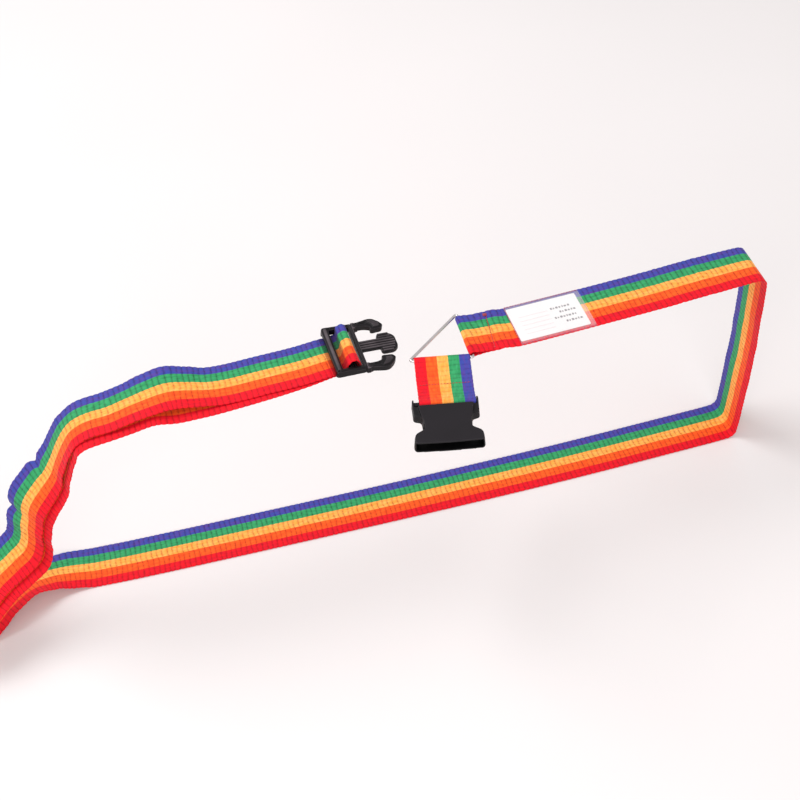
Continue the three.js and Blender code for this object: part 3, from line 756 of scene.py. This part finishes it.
def webbing_rings(stations, from_t, to_t, start, waves, widths, creases, nicks=(), ribs=1.0):
    """Cross-section rings, and for each of their points its along, across and crest.

    Waves and widths are (places along, sizes there). A crease is (place along, half width,
    height, slant): it lifts or dents the cloth right across. A nick is (place along, half
    width, depth): a kink that pulls in the blue edge.
    """
    fine = np.linspace(from_t, to_t, max(int((to_t - from_t) * 40), 80))
    lengths = distances(route_frames(stations, fine)[0])
    rows = max(int(lengths[-1] / RIB_PITCH * ROWS_PER_RIB), 8)
    steps = np.linspace(0, lengths[-1], rows + 1)
    centre, width_vector, normal = route_frames(stations, np.interp(steps, lengths, fine))
    columns = np.concatenate([[-0.5], COLUMNS, [0.5], COLUMNS[::-1]])
    face = np.concatenate([[0], -np.ones(len(COLUMNS)), [0], np.ones(len(COLUMNS))])
    fullness = np.array([EDGE_FULLNESS.get(round(abs(c), 3), 1.0) for c in columns])
    along, across = np.meshgrid(start + steps, columns, indexing="ij")
    crest = 1 - ribs * (1 - rib_crest(along, across))
    height = HALF_THICK * (GROOVE_SHARE + (1 - GROOVE_SHARE) * crest) * fullness * face
    height = height + np.interp(along[:, :1], *waves) * small_waves(along, across)
    for place, reach, rise, slant in creases:
        height = height + rise * np.exp(-((along - place - slant * across) / reach) ** 2)
    pull = GROOVE_PULL * (1 - crest) * (np.abs(across) > PULLED_FROM) * np.sign(across)
    sideways = across * np.interp(along[:, :1], *widths) - pull
    for place, reach, depth in nicks:
        kink = np.exp(-((along - place) / reach) ** 2) * smooth_step(across, 0.0, 0.5)
        sideways = sideways - depth * kink
        height = height - 0.5 * depth * kink
    rings = (
        centre[:, None, :]
        + width_vector[:, None, :] * sideways[..., None]
        + normal[:, None, :] * height[..., None]
    )
    return rings, along, across, crest, lengths[-1]


def hug_bar(rings):
    """The loop over the ladder bar, wide open at its near end and close round it at its far end.

    The second value is each point's height in the male half's own frame.
    """
    inverse = np.array(MALE_PLACEMENT.inverted())
    forward = np.array(MALE_PLACEMENT)
    local = rings @ inverse[:3, :3].T + inverse[:3, 3]
    far = np.clip(local[..., 1] / WEB_WIDTH + 0.5, 0, 1)
    raised = smooth_step(local[..., 2], 1.5, 4)
    hugging = np.clip(local[..., 0], *LOOP_WALLS)
    local[..., 0] += (hugging - local[..., 0]) * far * raised
    return local @ forward[:3, :3].T + forward[:3, 3], local[..., 2]


def webbing_piece(name, rings, along, across, crest):
    """A closed webbing mesh with the attributes that its material reads."""
    ob = new_mesh_object(name, *loft(rings), WEBBING)
    store(ob.data, "along", along)
    store(ob.data, "across", across)
    store(ob.data, "crest", crest)
    return ob


def long_webbing():
    """The long webbing in five meshes, one after the other along a single route."""
    names, runs, wave_sizes = zip(*LONG_RUNS)
    stations = [place for run in runs for place in run]
    ends = np.cumsum([len(run) for run in runs]) - 1
    starts = np.concatenate([[0], ends[:-1]])
    samples = np.linspace(0, len(stations) - 1, ROUTE_SAMPLES)
    reach = distances(route_frames(stations, samples)[0])

    def place_of(t):
        return np.interp(t, samples, reach)

    waves = (place_of((starts + ends) / 2), wave_sizes)
    fold_end, corner_start = place_of(ends[0] - 2), place_of(ends[1])
    widths = (
        (fold_end, fold_end + 20, corner_start, corner_start + 60),
        (WEB_WIDTH, FULL_WIDTH, FULL_WIDTH, WEB_WIDTH),
    )
    seam = place_of(SEAM_STATION)
    creases = [
        (seam, 1.4, -0.30, 2.0),
        (seam - 6, 4.0, 0.30, 5.0),
        (seam + 7, 3.5, 0.25, -3.0),
        *((corner_start - before, 2.2, height, slant) for before, slant, height in TOP_CREASES),
    ]
    droop_start = starts[names.index("webbing_droop")] + 1
    nicks = [(place_of(droop_start + k), half, depth) for k, half, depth in DROOP_NICKS]
    spans = (
        ("long_webbing", "webbing_ring_fold", "webbing_left_corner", "strap", "folded"),
        ("slide_webbing", "webbing_slide_strip", "webbing_slide_strip", "strap", "laid"),
        ("ladder_webbing", "webbing_bar_loop", "webbing_bar_loop", "male_half", "folded"),
        ("tail_slide_webbing", "tail_slide_strip", "tail_slide_strip", "strap", "laid"),
        ("tail_webbing", "tail_left_corner", "tail_hem", "strap", "hung"),
    )
    made = {}
    for name, first, last, body, held in spans:
        i, j = names.index(first), names.index(last)
        rings, along, across, crest, length = webbing_rings(
            stations, starts[i], ends[j], place_of(starts[i]), waves, widths, creases, nicks,
        )
        if name == "ladder_webbing":
            rings, height = hug_bar(rings)
            # Painted shade: the loop is darker low in the frame's window.
            crest = crest * smooth_step(height, *WINDOW_SHADE)
        ob = webbing_piece(name, rings, along, across, crest)
        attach(ob, body)
        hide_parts(*names[i:j + 1])
        made[name] = ob
    return made


def shorten_with_adjuster(ob):
    """The strip beside the male half gets a mesh of its own."""
    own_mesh(ob)


webbing = long_webbing()
shorten_with_adjuster(webbing["slide_webbing"])
shorten_with_adjuster(webbing["tail_slide_webbing"])


def short_webbing():
    """The short loop: flatter ribs, drawn in at its seam, a little slack and puckered."""
    rings, along, across, crest, length = webbing_rings(
        short_loop, 0, len(short_loop) - 1, 0.0,
        waves=((0,), (0.12,)),
        widths=((0, 60, 80), (SHORT_SEAM_WIDTH, FULL_WIDTH, SHORT_SEAM_WIDTH)),
        creases=[(SHORT_SEAM_ALONG, 1.3, -0.30, 0.0), (SHORT_SEAM_ALONG + 11, 3.0, 0.25, 4.0)],
        ribs=0.6,
    )
    ob = webbing_piece("short_loop_webbing", rings, along, across, crest)
    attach(ob, "short_strap")
    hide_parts("short_webbing")


short_webbing()


# ---- Sewing ----
THREAD_RADIUS = 0.3
SEAM_REACH = 22                     # of the hem seam to each side of the webbing's middle
STITCH_RISE = 0.45                  # of a stitch's middle above its own ends
STITCH_DIP = 0.35                   # of its ends below the seam's line, into the cloth


def stitches(name, ends, material):
    """Stitches between pairs of points: each is a short thread that dips into the cloth."""
    solids = []
    for start, end in ends:
        path, radii = [], []
        for k in range(7):
            share = k / 6
            rise = math.sin(math.pi * share) ** 0.6 * STITCH_RISE - STITCH_DIP
            path.append(start.lerp(end, share) + Vector((0, 0, rise)))
            radii.append(THREAD_RADIUS * (0.8 + 0.2 * math.sin(math.pi * share)))
        solids.append(loft(rod_rings(path, radii, 6)))
    return new_mesh_object(name, *together(solids), material)


def zigzag_ends(start, end, sway, pitch):
    """The ends of stitches that go from side to side along a line."""
    start, end = Vector(start), Vector(end)
    along = end - start
    count = round(along.length / pitch)
    across = Vector((-along.y, along.x, 0)).normalized() * sway
    corners = [start + along * (i / count) + across * (1 if i % 2 else -1) for i in range(count + 1)]
    return [(a.lerp(b, 0.06), b.lerp(a, 0.06)) for a, b in zip(corners, corners[1:])]


def running_ends(start, end, stitch, gap):
    """The ends of stitches in a straight row with gaps between them."""
    start, end = Vector(start), Vector(end)
    count = int((end - start).length / (stitch + gap))
    step = (end - start) / count
    share = stitch / (stitch + gap)
    return [(start + step * i, start + step * (i + share)) for i in range(count)]


def sew(name, ends, node, body, material):
    ob = stitches(name, ends, material)
    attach(ob, body)
    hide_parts(node)


SEAM_Z = UPPER_Z + HALF_THICK + 0.15
ring_seam = zigzag_ends((360.4, -22.5, SEAM_Z), (366.2, 17.5, SEAM_Z), 0.35, 2.2)
sew("ring_seam_stitches", ring_seam, "ring_seam_thread", "strap", RED_THREAD)
tack = zigzag_ends((364.0, 20.6, SEAM_Z + 0.15), (367.6, 20.2, SEAM_Z + 0.15), 2.3, 0.42)
sew("ring_tack_stitches", tack, "ring_bar_tack", "strap", SEAM_THREAD)
short_z = SEAM_Z + 0.06
short_seam = running_ends(short_place(30.5, -23, short_z), short_place(30.5, 23, short_z), 1.7, 0.9)
sew("short_seam_stitches", short_seam, "short_seam_thread", "short_strap", RED_THREAD)
hem_middle = Vector((*hem_reach(12, 0)[:2], HEM_Z - 2 * HEM_TURN - HALF_THICK - 0.15))
hem_half = Vector((SLACK_HEADING[1], -SLACK_HEADING[0], 0)) * SEAM_REACH
hem_seam = zigzag_ends(hem_middle - hem_half, hem_middle + hem_half, 0.5, 1.9)
sew("hem_stitches", hem_seam, "hem_seam_thread", "strap", SEAM_THREAD)


# ---- Wire ring ----
def ring_path():
    """The wire's centre: three straight sides and three tight bends, open at a butt joint."""
    points = []

    def bend(before, corner, after):
        half = (before - corner).angle(after - corner) / 2
        reach = RING_CORNER_RADIUS / math.tan(half)
        enter = corner + (before - corner).normalized() * reach
        leave = corner + (after - corner).normalized() * reach
        for k in range(13):
            share = k / 12
            points.append(enter.lerp(corner, share).lerp(corner.lerp(leave, share), share))

    towards_left = (RING_LEFT - RING_NEAR).normalized()
    for place in (RING_BUTT + RING_BUTT_GAP, RING_BUTT + RING_BUTT_GAP + WIRE_CHAMFER):
        points.append(RING_NEAR + towards_left * place)
    bend(RING_NEAR, RING_LEFT, RING_FAR)
    bend(RING_LEFT, RING_FAR, RING_NEAR)
    bend(RING_FAR, RING_NEAR, RING_LEFT)
    for place in (RING_BUTT - WIRE_CHAMFER, RING_BUTT):
        points.append(RING_NEAR + towards_left * place)
    return points


def wire_ring():
    """The bent wire, with its two ends chamfered where they meet."""
    path = ring_path()
    radii = [WIRE_RADIUS] * len(path)
    radii[0] = radii[-1] = WIRE_END_RADIUS
    ob = new_mesh_object("bent_wire_ring", *loft(rod_rings(path, radii, 28)), WIRE)
    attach(ob, "ring")
    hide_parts("wire_ring")


wire_ring()


# ---- Moulded plastic ----
def block_object(bm):
    mesh = bpy.data.meshes.new("block")
    bmesh.ops.recalc_face_normals(bm, faces=bm.faces)
    bm.to_mesh(mesh)
    bm.free()
    return bpy.data.objects.new("block", mesh)


def rounded(corners, radius, steps=5):
    """An outline with each corner rounded off."""
    points = []
    count = len(corners)
    for i, corner in enumerate(corners):
        here = Vector(corner)
        before, after = Vector(corners[i - 1]), Vector(corners[(i + 1) % count])
        reach = min(radius, (before - here).length / 2.1, (after - here).length / 2.1)
        enter = here + (before - here).normalized() * reach
        leave = here + (after - here).normalized() * reach
        for k in range(steps + 1):
            share = k / steps
            points.append(enter.lerp(here, share).lerp(here.lerp(leave, share), share))
    return points


def slab(corners, radius, low, high, inset=0.0):
    """A flat plate with rounded corners; inset makes its top smaller than its base."""
    outline = rounded(corners, radius)
    middle = sum(outline, Vector((0, 0))) / len(outline)
    bm = bmesh.new()
    base = [bm.verts.new((p.x, p.y, low)) for p in outline]
    top = []
    for p in outline:
        away = p - middle
        smaller = middle + away * max(0.0, 1 - inset / max(away.length, 1e-6))
        top.append(bm.verts.new((smaller.x, smaller.y, high)))
    for i in range(len(outline)):
        j = (i + 1) % len(outline)
        bm.faces.new((base[i], base[j], top[j], top[i]))
    bm.faces.new(base[::-1])
    bm.faces.new(top)
    return block_object(bm)


def box(x0, x1, y0, y1, z0, z1):
    return slab([(x0, y0), (x1, y0), (x1, y1), (x0, y1)], 0.01, z0, z1)


def cylinder(start, end, radius, sides=24):
    """A round bar between two points."""
    path = [Vector(start).lerp(Vector(end), k / 2) for k in range(3)]
    points, faces = loft(rod_rings(path, [radius] * 3, sides))
    mesh = bpy.data.meshes.new("block")
    mesh.from_pydata(points.tolist(), [], faces)
    return bpy.data.objects.new("block", mesh)


def bar_across(x, reach, z, radius, sides=24):
    """A round bar across a piece, with the same reach on both sides."""
    return cylinder((x, -reach, z), (x, reach, z), radius, sides)


def bar_along(x0, x1, y, z, radius, sides=24):
    """A round bar along a piece."""
    return cylinder((x0, y, z), (x1, y, z), radius, sides)


def post(x, y, z0, z1, radius, sides=24):
    """An upright round bar."""
    return cylinder((x, y, z0), (x, y, z1), radius, sides)


def mirrored(half, middle=()):
    """An outline from its half on the far side, with any points on the middle line."""
    return [(x, -y) for x, y in half] + [*middle] + half[::-1]


def both_sides(corners):
    """The outline and its mirror image across the middle line."""
    return (corners, [(x, -y) for x, y in corners][::-1])


def moulding(name, added, cut, placement, material, voxel=0.36, smoothing=3, painted_light_of=None):
    """One moulded piece: blocks joined, others cut away, and every edge softened.

    The last argument, if given, takes a point's x and z in the piece's own frame and gives painted light:
    a highlight above 0, shade below 0.
    """
    joined = bpy.data.collections.new("joined")
    removed = bpy.data.collections.new("removed")
    body, *others = added
    for collection, blocks in ((joined, others), (removed, cut)):
        bpy.context.scene.collection.children.link(collection)
        for block in blocks:
            collection.objects.link(block)
    bpy.context.scene.collection.objects.link(body)
    for collection, operation in ((joined, "UNION"), (removed, "DIFFERENCE")):
        if collection.objects:
            boolean = body.modifiers.new(operation, "BOOLEAN")
            boolean.operation = operation
            boolean.operand_type = "COLLECTION"
            boolean.collection = collection
            boolean.solver = "EXACT"
    remesh = body.modifiers.new("remesh", "REMESH")
    remesh.mode = "VOXEL"
    remesh.voxel_size = voxel
    soften = body.modifiers.new("soften", "SMOOTH")
    soften.factor = 0.5
    soften.iterations = smoothing
    depsgraph = bpy.context.evaluated_depsgraph_get()
    mesh = bpy.data.meshes.new_from_object(body.evaluated_get(depsgraph))
    # Painted highlight and painted shade for each point, for the material to read.
    if painted_light_of is not None:
        places = np.empty(len(mesh.vertices) * 3, np.float32)
        mesh.vertices.foreach_get("co", places)
        store(mesh, "painted_light", painted_light_of(places[0::3], places[2::3]))
    mesh.shade_smooth()
    for block in (body, *others, *cut):
        bpy.data.objects.remove(block)
    for collection in (joined, removed):
        bpy.data.collections.remove(collection)
    return placed_object(name, mesh, placement, material)


# Male half: x towards its tip, y across, z up from its base.
RAIL_INNER = WEB_WIDTH / 2 + GAP + 0.5
RAIL_OUTER = 30
RAIL_MIDDLE = (RAIL_INNER + RAIL_OUTER) / 2
FRAME_END = 30
BAR_TOP = 9.8
FLUTE_TOP = 8.1
WINDOW_START = 6.6
WINDOW_END = 25.4
PIVOT_X = 33
PIVOT_Y = 26.5
BARREL_RADIUS = 2.7
BARREL_ROOM = 0.3
RIDGE_RADIUS = 0.6
FINE_VOXEL = 0.3
TONGUE_FLUTES = (-4.4, -1.5, 1.5, 4.4)                                      # places across
HEAD_FLUTES = ((-10.4, 59.4), (-7.4, 61.4), (7.4, 61.4), (10.4, 59.4))      # places across, ends
LADDER_RIDGES = (15.2, 17.2, 19.2)


def male_painted_highlight(x, z):
    """Painted highlight: the front bar and the tops of the flutes are painted pale."""
    top = np.where(x < FRAME_END - 1, BAR_TOP, FLUTE_TOP)
    return smooth_step(z - top, -0.9, 0.0)


def male_frame():
    """Window frame, front and cross bars, arm seats, fluted tongue and drum-like head."""
    seat = [(28.5, 23.4), (35, 24), (35, 28.8), (28.5, 29)]
    knuckle = [(28.5, 22.6), (32.4, 22.8), (32.6, 29.9), (28.5, 29.9)]
    added = [
        slab(mirrored([(0, RAIL_OUTER), (FRAME_END, RAIL_OUTER - 1)]), 3.6, 2, 8.6, 0.4),
        bar_across(3.4, RAIL_OUTER - 3.2, 7.2, 2.6),
        *(bar_along(4, 27.5, y, 7.3, 1.7) for y in (RAIL_MIDDLE, -RAIL_MIDDLE)),
        *(slab(outline, 1.0, 1.3, 2.5) for outline in both_sides(seat)),
        *(slab(outline, 0.8, 1.6, 8.5, 0.2) for outline in both_sides(knuckle)),
        bar_across(27.8, 27, 7.4, 1.8),
        slab(mirrored([(29, 6.6), (33, 5.8), (52, 5.8)]), 0.8, 3.8, 6.4),
        *(bar_along(28.8, 63.6 - abs(y) * 0.3, y, 6.9, 1.2, 18) for y in TONGUE_FLUTES),
        slab(mirrored([(48, 12), (60, 12), (65, 7)]), 3.2, 3.4, 6.5, 0.3),
        *(bar_along(49.4, end, y, 6.6, 1.3, 18) for y, end in HEAD_FLUTES),
    ]
    cut = [
        slab(mirrored([(WINDOW_START, RAIL_INNER), (WINDOW_END, RAIL_INNER)]), 1.0, 0, 12),
        box(-1, WINDOW_START + 0.4, -RAIL_INNER, RAIL_INNER, 0, 4.2),
        slab(mirrored([(31.5, 3), (46, 3)]), 1.2, 1.0, 5.0),
        slab(mirrored([(50, 9), (61, 9)]), 2.0, 1.0, 4.6),
        *(post(PIVOT_X, y, 2.5, 10, BARREL_RADIUS + BARREL_ROOM) for y in (PIVOT_Y, -PIVOT_Y)),
    ]
    ob = moulding("male_moulding", added, cut, MALE_PLACEMENT, MALE_PLASTIC, FINE_VOXEL, 1, male_painted_highlight)
    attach(ob, "male_half")
    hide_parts("male_frame")


def male_ladder_bar():
    """The flat bar that the webbing goes over, with three grip ridges."""
    added = [
        slab(mirrored([(14, 26), (20.5, 26)]), 0.8, 3.4, 6.9, 0.3),
        *(bar_across(x, 24.5, 6.8, RIDGE_RADIUS, 10) for x in LADDER_RIDGES),
    ]
    bar = moulding("male_ladder_bar", added, [], MALE_PLACEMENT, MALE_PLASTIC, FINE_VOXEL, 2)
    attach(bar, "male_half")


def pad_painted_highlight(x, z):
    """Painted highlight: the top of an arm's finger pad is painted pale, whatever the x."""
    return 0.8 * smooth_step(z, 8.7, 9.4)


ARM_OUTLINE = [
    (33, 29.2), (40, 30.6), (46, 31.8), (50, 31), (55, 26.5), (58, 21.5), (55.5, 17.8),
    (46.5, 17), (44.8, 18.2), (45.6, 21.5), (40, 23.4), (33, 23.8),
]
ARM_PAD = [(43, 29.8), (50, 29), (55, 24), (54.5, 19.6), (48.5, 19.4), (47.6, 23.2)]
GRIP_RIDGES = ((41.5, 30.3), (43.5, 30.8), (45.5, 31.2), (47.5, 31.0))


def male_arm(name, node, body, side):
    """A barbed arm with a root barrel, a finger pad and grip ridges on its outer edge."""
    outline, pad = (both_sides(corners)[0 if side > 0 else 1] for corners in (ARM_OUTLINE, ARM_PAD))
    added = [
        slab(outline, 1.6, 2.8, 8.4),
        slab(pad, 1.4, 8.0, 9.3, 0.8),
        post(PIVOT_X, side * PIVOT_Y, 2.9, 8.8, BARREL_RADIUS),
        *(post(x, side * y, 3.4, 8.2, RIDGE_RADIUS, 10) for x, y in GRIP_RIDGES),
    ]
    groove = cylinder((36, side * 26.6, 9.0), (43, side * 26.8, 9.0), 1.1, 14)
    ob = moulding(name, added, [groove], MALE_PLACEMENT, MALE_PLASTIC, painted_light_of=pad_painted_highlight)
    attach(ob, body)
    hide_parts(node)


male_frame()
male_ladder_bar()
male_arm("male_arm_far_moulding", "male_arm_far", "arm_far", 1)
male_arm("male_arm_near_moulding", "male_arm_near", "arm_near", -1)

# Socket half: x from its bar towards the mouth, y across, z up from its base.
SOCKET_PLACEMENT = (
    Matrix.Translation((
        SHORT_ORIGIN[0] + SHORT_ALONG[0] * SHORT_SPAN - SHORT_ACROSS[0] * SOCKET_SHIFT,
        SHORT_ORIGIN[1] + SHORT_ALONG[1] * SHORT_SPAN - SHORT_ACROSS[1] * SOCKET_SHIFT,
        SOCKET_BASE,
    ))
    @ Matrix.Rotation(math.atan2(SHORT_ALONG[1], SHORT_ALONG[0]), 4, "Z")
)
SOCKET_SIDE = [
    (-4, 30), (15, 29.5), (17, 22.5), (33.5, 21.5), (38.5, 30), (42, 31), (47, 31), (SOCKET_MOUTH, 29),
]
PANEL_SIDE = [(18, 22.6), (26, 20.6), (33.2, 21), (38.4, 29), (42, 30.3), (49, 29.8)]
CAVITY_SIDE = [(26, 24.5), (37, 25.5), (41, 29), (53, 29.4)]
SOCKET_FLOOR = 1.3
SOCKET_CEILING = SOCKET_HEIGHT - 1.7
LUG_INNER = WEB_WIDTH / 2 + GAP + SOCKET_SHIFT + 0.7
BODY_START = BAR_LOOP + HALF_THICK + 1


def socket_shade(x, z):
    """Painted shade: below the top panel the socket is darker, most of all inside its mouth."""
    below_top = smooth_step(z, 0.05, 0.5) * (1 - smooth_step(z, SOCKET_CEILING, SOCKET_HEIGHT - 0.6))
    return -below_top * (0.45 + 0.45 * smooth_step(x, 27, 31))


def socket_body():
    """Open-mouthed body with a raised top panel and low side lugs round its webbing bar."""
    outline = mirrored(SOCKET_SIDE, [(SOCKET_MOUTH + 0.8, 0)])
    panel = mirrored([(BODY_START, 25), *PANEL_SIDE], [(SOCKET_MOUTH + 0.4, 0)])
    added = [slab(outline, 2.5, 0, 9.6, 0.8), slab(panel, 2.0, 9.0, SOCKET_HEIGHT, 0.4)]
    cut = [
        box(-6, BODY_START, -LUG_INNER, LUG_INNER, -1, SOCKET_HEIGHT + 1),
        slab(mirrored(CAVITY_SIDE), 0.5, SOCKET_FLOOR, SOCKET_CEILING),
        box(BODY_START + 3, 27, -19, 19, SOCKET_FLOOR + 0.4, SOCKET_CEILING - 0.5),
    ]
    body = moulding("socket_moulding", added, cut, SOCKET_PLACEMENT, SOCKET_PLASTIC, painted_light_of=socket_shade)
    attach(body, "socket")
    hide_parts("socket_half")


def socket_inner_parts():
    """The webbing bar between the lugs, and two guide rails in the cavity."""
    bar = [bar_across(0, LUG_INNER + 0.5, SOCKET_BAR_RISE, BAR_RADIUS)]
    guides = [box(14, 40, y - 0.7, y + 0.7, SOCKET_FLOOR - 0.1, 3.6) for y in (-8.6, 8.6)]
    for name, added in (("socket_bar_moulding", bar), ("socket_guide_rails", guides)):
        ob = moulding(name, added, [], SOCKET_PLACEMENT, SOCKET_PLASTIC)
        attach(ob, "socket")


socket_body()
socket_inner_parts()


# ---- Name-card pocket ----
FILM_MARGIN = 0.35
FILM_THICK = 0.3
FILM_ROWS = 90
FILM_COLUMNS = 60
FILM_CLEARANCE = 0.22           # below the film where it is sewn down
FILM_LIFT = 0.3                 # of the film above the card


def film_heights(x, y):
    """Height of the film's underside, and how raised each place is: 0 sewn down, 1 over the card."""
    card_half = CARD_WIDTH / 2
    raised = smooth_step(x, POCKET_LEFT + FILM_MARGIN + 0.4, CARD_CORNER.x + 0.3)
    raised = raised * (1 - smooth_step(np.abs(y), card_half + 0.2, FULL_WIDTH / 2 - FILM_MARGIN - 0.4))
    ripple = 0.10 * np.sin(x / 5.0 + y / 9.0) + 0.07 * np.sin(x / 2.3 - y / 4.0)
    low = WEB_TOP + FILM_CLEARANCE
    high = WEB_TOP + GAP + CARD_THICK + FILM_LIFT
    return low + (high - low) * raised + ripple * raised + 0.05 * np.sin(x / 1.7), raised


def sheet_faces(rows, columns):
    """Faces of a thin sheet made of two grids of points, one above the other."""
    layer = rows * columns
    faces = []
    for i in range(rows - 1):
        for j in range(columns - 1):
            a = i * columns + j
            quad = (a, a + columns, a + columns + 1, a + 1)
            faces.append(tuple(k + layer for k in quad))
            faces.append(quad[::-1])
    grid = np.arange(layer).reshape(rows, columns)
    edge = [*grid[:, 0], *grid[-1, 1:], *grid[-2::-1, -1], *grid[0, -2:0:-1]]
    for a, b in zip(edge, edge[1:] + edge[:1]):
        faces.append((a, b, b + layer, a + layer))
    return faces


def pocket_film():
    """Clear film, raised over the card and pressed down round it on three sides."""
    left, right = POCKET_LEFT + FILM_MARGIN, POCKET_LEFT + POCKET_LENGTH - FILM_MARGIN
    half = FULL_WIDTH / 2 - FILM_MARGIN
    xs = np.linspace(left, right, FILM_ROWS)
    ys = np.linspace(-half, half, FILM_COLUMNS)
    x, y = np.meshgrid(xs, ys, indexing="ij")
    z, raised = film_heights(x, y)
    bottom = np.stack([x, POCKET_Y + y, z], axis=-1).reshape(-1, 3)
    points = np.concatenate([bottom, bottom + (0, 0, FILM_THICK)])
    ob = new_mesh_object("clear_pocket", points, sheet_faces(FILM_ROWS, FILM_COLUMNS), FILM)
    store(ob.data, "margin", [1 - raised, 1 - raised])
    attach(ob, "strap")
    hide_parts("pocket_film")


def pocket_stitches():
    """One row of stitches on each of the three sewn sides."""
    z = WEB_TOP + 0.75
    half = FULL_WIDTH / 2 - 1.0
    left, right = POCKET_LEFT + 1.0, POCKET_LEFT + POCKET_LENGTH - 0.8
    near, far = POCKET_Y - half, POCKET_Y + half
    corners = [(right, near, z), (left, near, z), (left, far, z), (right, far, z)]
    ends = [pair for a, b in zip(corners, corners[1:]) for pair in running_ends(a, b, 2.0, 0.7)]
    sew("pocket_stitches", ends, "pocket_thread", "strap", POCKET_THREAD)


def name_card():
    """The blank card, with rounded corners and a small bevel."""
    corners = [(0, 0), (CARD_LENGTH, 0), (CARD_LENGTH, CARD_WIDTH), (0, CARD_WIDTH)]
    card = slab(corners, 1.6, CARD_INSET, CARD_THICK - CARD_INSET)
    bevel = card.modifiers.new("bevel", "BEVEL")
    bevel.width = 0.12
    bevel.segments = 2
    bpy.context.scene.collection.objects.link(card)
    mesh = bpy.data.meshes.new_from_object(card.evaluated_get(bpy.context.evaluated_depsgraph_get()))
    bpy.data.objects.remove(card)
    ob = placed_object("printed_card", mesh, Matrix.Translation(CARD_CORNER), CARD)
    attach(ob, "card")
    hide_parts("name_card")


INK_DEPTH = 0.03
DASH_ROWS = ((29.0, 40, 59), (23.0, 47, 62), (16.4, 40, 62), (9.8, 49, 63))     # height, start, end
DASH_LENGTHS = (1.7, 1.2, 2.2)
DASH_HEIGHTS = (2.6, 2.1)
DASH_GAPS = (1.0, 1.3)
RULES = [(8, y, 29, 0.45) for y in (7, 12.5, 18, 23.5, 29)]


def card_marks(name, marks, material):
    """Flat printed dashes with no lettering: each mark is (x, y, length, height) on the card."""
    solids = []
    for x, y, length, height in marks:
        corners = [(x, y), (x + length, y), (x + length, y + height), (x, y + height)]
        low = [CARD_CORNER + Vector((*corner, CARD_THICK - INK_DEPTH)) for corner in corners]
        high = [CARD_CORNER + Vector((*corner, CARD_THICK)) for corner in corners]
        solids.append(loft([low, high]))
    ob = new_mesh_object(name, *together(solids), material, smooth=False)
    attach(ob, "card")


def dash_rows():
    """Four rows of short dashes on the card's right half."""
    marks = []
    for y, start, end in DASH_ROWS:
        x = start
        step = 0
        while x < end:
            length = DASH_LENGTHS[step % 3]
            marks.append((x, y, length, DASH_HEIGHTS[step % 2]))
            x += length + DASH_GAPS[step % 2]
            step += 1
    return marks


pocket_film()
pocket_stitches()
name_card()
card_marks("card_dashes", dash_rows(), INK)
card_marks("card_rules", RULES, FAINT_INK)


# ---- Stage, camera and light ----
def floor():
    look = Look("pale_floor", Roughness=0.75)
    tone = look.noise(look.object_place(), 1.5, 2.0)
    look.shade("Base Color", look.ramp(tone, [(0.3, (0.78, 0.745, 0.745)), (0.7, (0.81, 0.775, 0.775))]))
    bpy.ops.mesh.primitive_plane_add(size=14, location=(0, 0, 0))
    plane = bpy.context.object
    plane.name = "floor"
    plane.data.materials.append(look.material)


CAMERA_PLACE = (0, -945, 1271.67)
CAMERA_YAW = 16.205
CAMERA_DOWN = 48.243
CAMERA_ROLL = -2.306
CAMERA_LENS = 70.52
CAMERA_SENSOR = 36


def camera():
    """The camera, aimed by its yaw, how far it looks down, and its roll."""
    yaw, down, roll = (math.radians(a) for a in (CAMERA_YAW, CAMERA_DOWN, CAMERA_ROLL))
    forward = Vector((math.sin(yaw) * math.cos(down), math.cos(yaw) * math.cos(down), -math.sin(down)))
    level = Vector((math.cos(yaw), -math.sin(yaw), 0))
    raised = level.cross(forward)
    right = level * math.cos(roll) + raised * math.sin(roll)
    up = raised * math.cos(roll) - level * math.sin(roll)
    data = bpy.data.cameras.new("camera")
    data.lens = CAMERA_LENS
    data.sensor_width = CAMERA_SENSOR
    ob = linked_object("camera", data)
    turn = Matrix((right, up, -forward)).transposed().to_4x4()
    ob.matrix_world = Matrix.Translation(to_frame(CAMERA_PLACE)) @ turn
    bpy.context.scene.camera = ob


def area_light(name, place, size, watts):
    """A square light that faces the middle of the part's base."""
    data = bpy.data.lights.new(name, "AREA")
    data.size = size
    data.energy = watts
    ob = linked_object(name, data)
    ob.location = place
    ob.rotation_euler = (-Vector(place)).to_track_quat("-Z", "Y").to_euler()


def studio():
    world = bpy.data.worlds.new("studio")
    world.use_nodes = True
    sky = world.node_tree.nodes["Background"].inputs
    sky["Color"].default_value = (1.0, 0.985, 0.98, 1)
    sky["Strength"].default_value = 0.75
    bpy.context.scene.world = world
    area_light("key", (-0.9, 0.9, 2.2), 1.4, 32)
    area_light("fill", (-0.5, -1.8, 1.3), 1.6, 19)
    bpy.context.scene.view_settings.view_transform = "Standard"


floor()
camera()
studio()
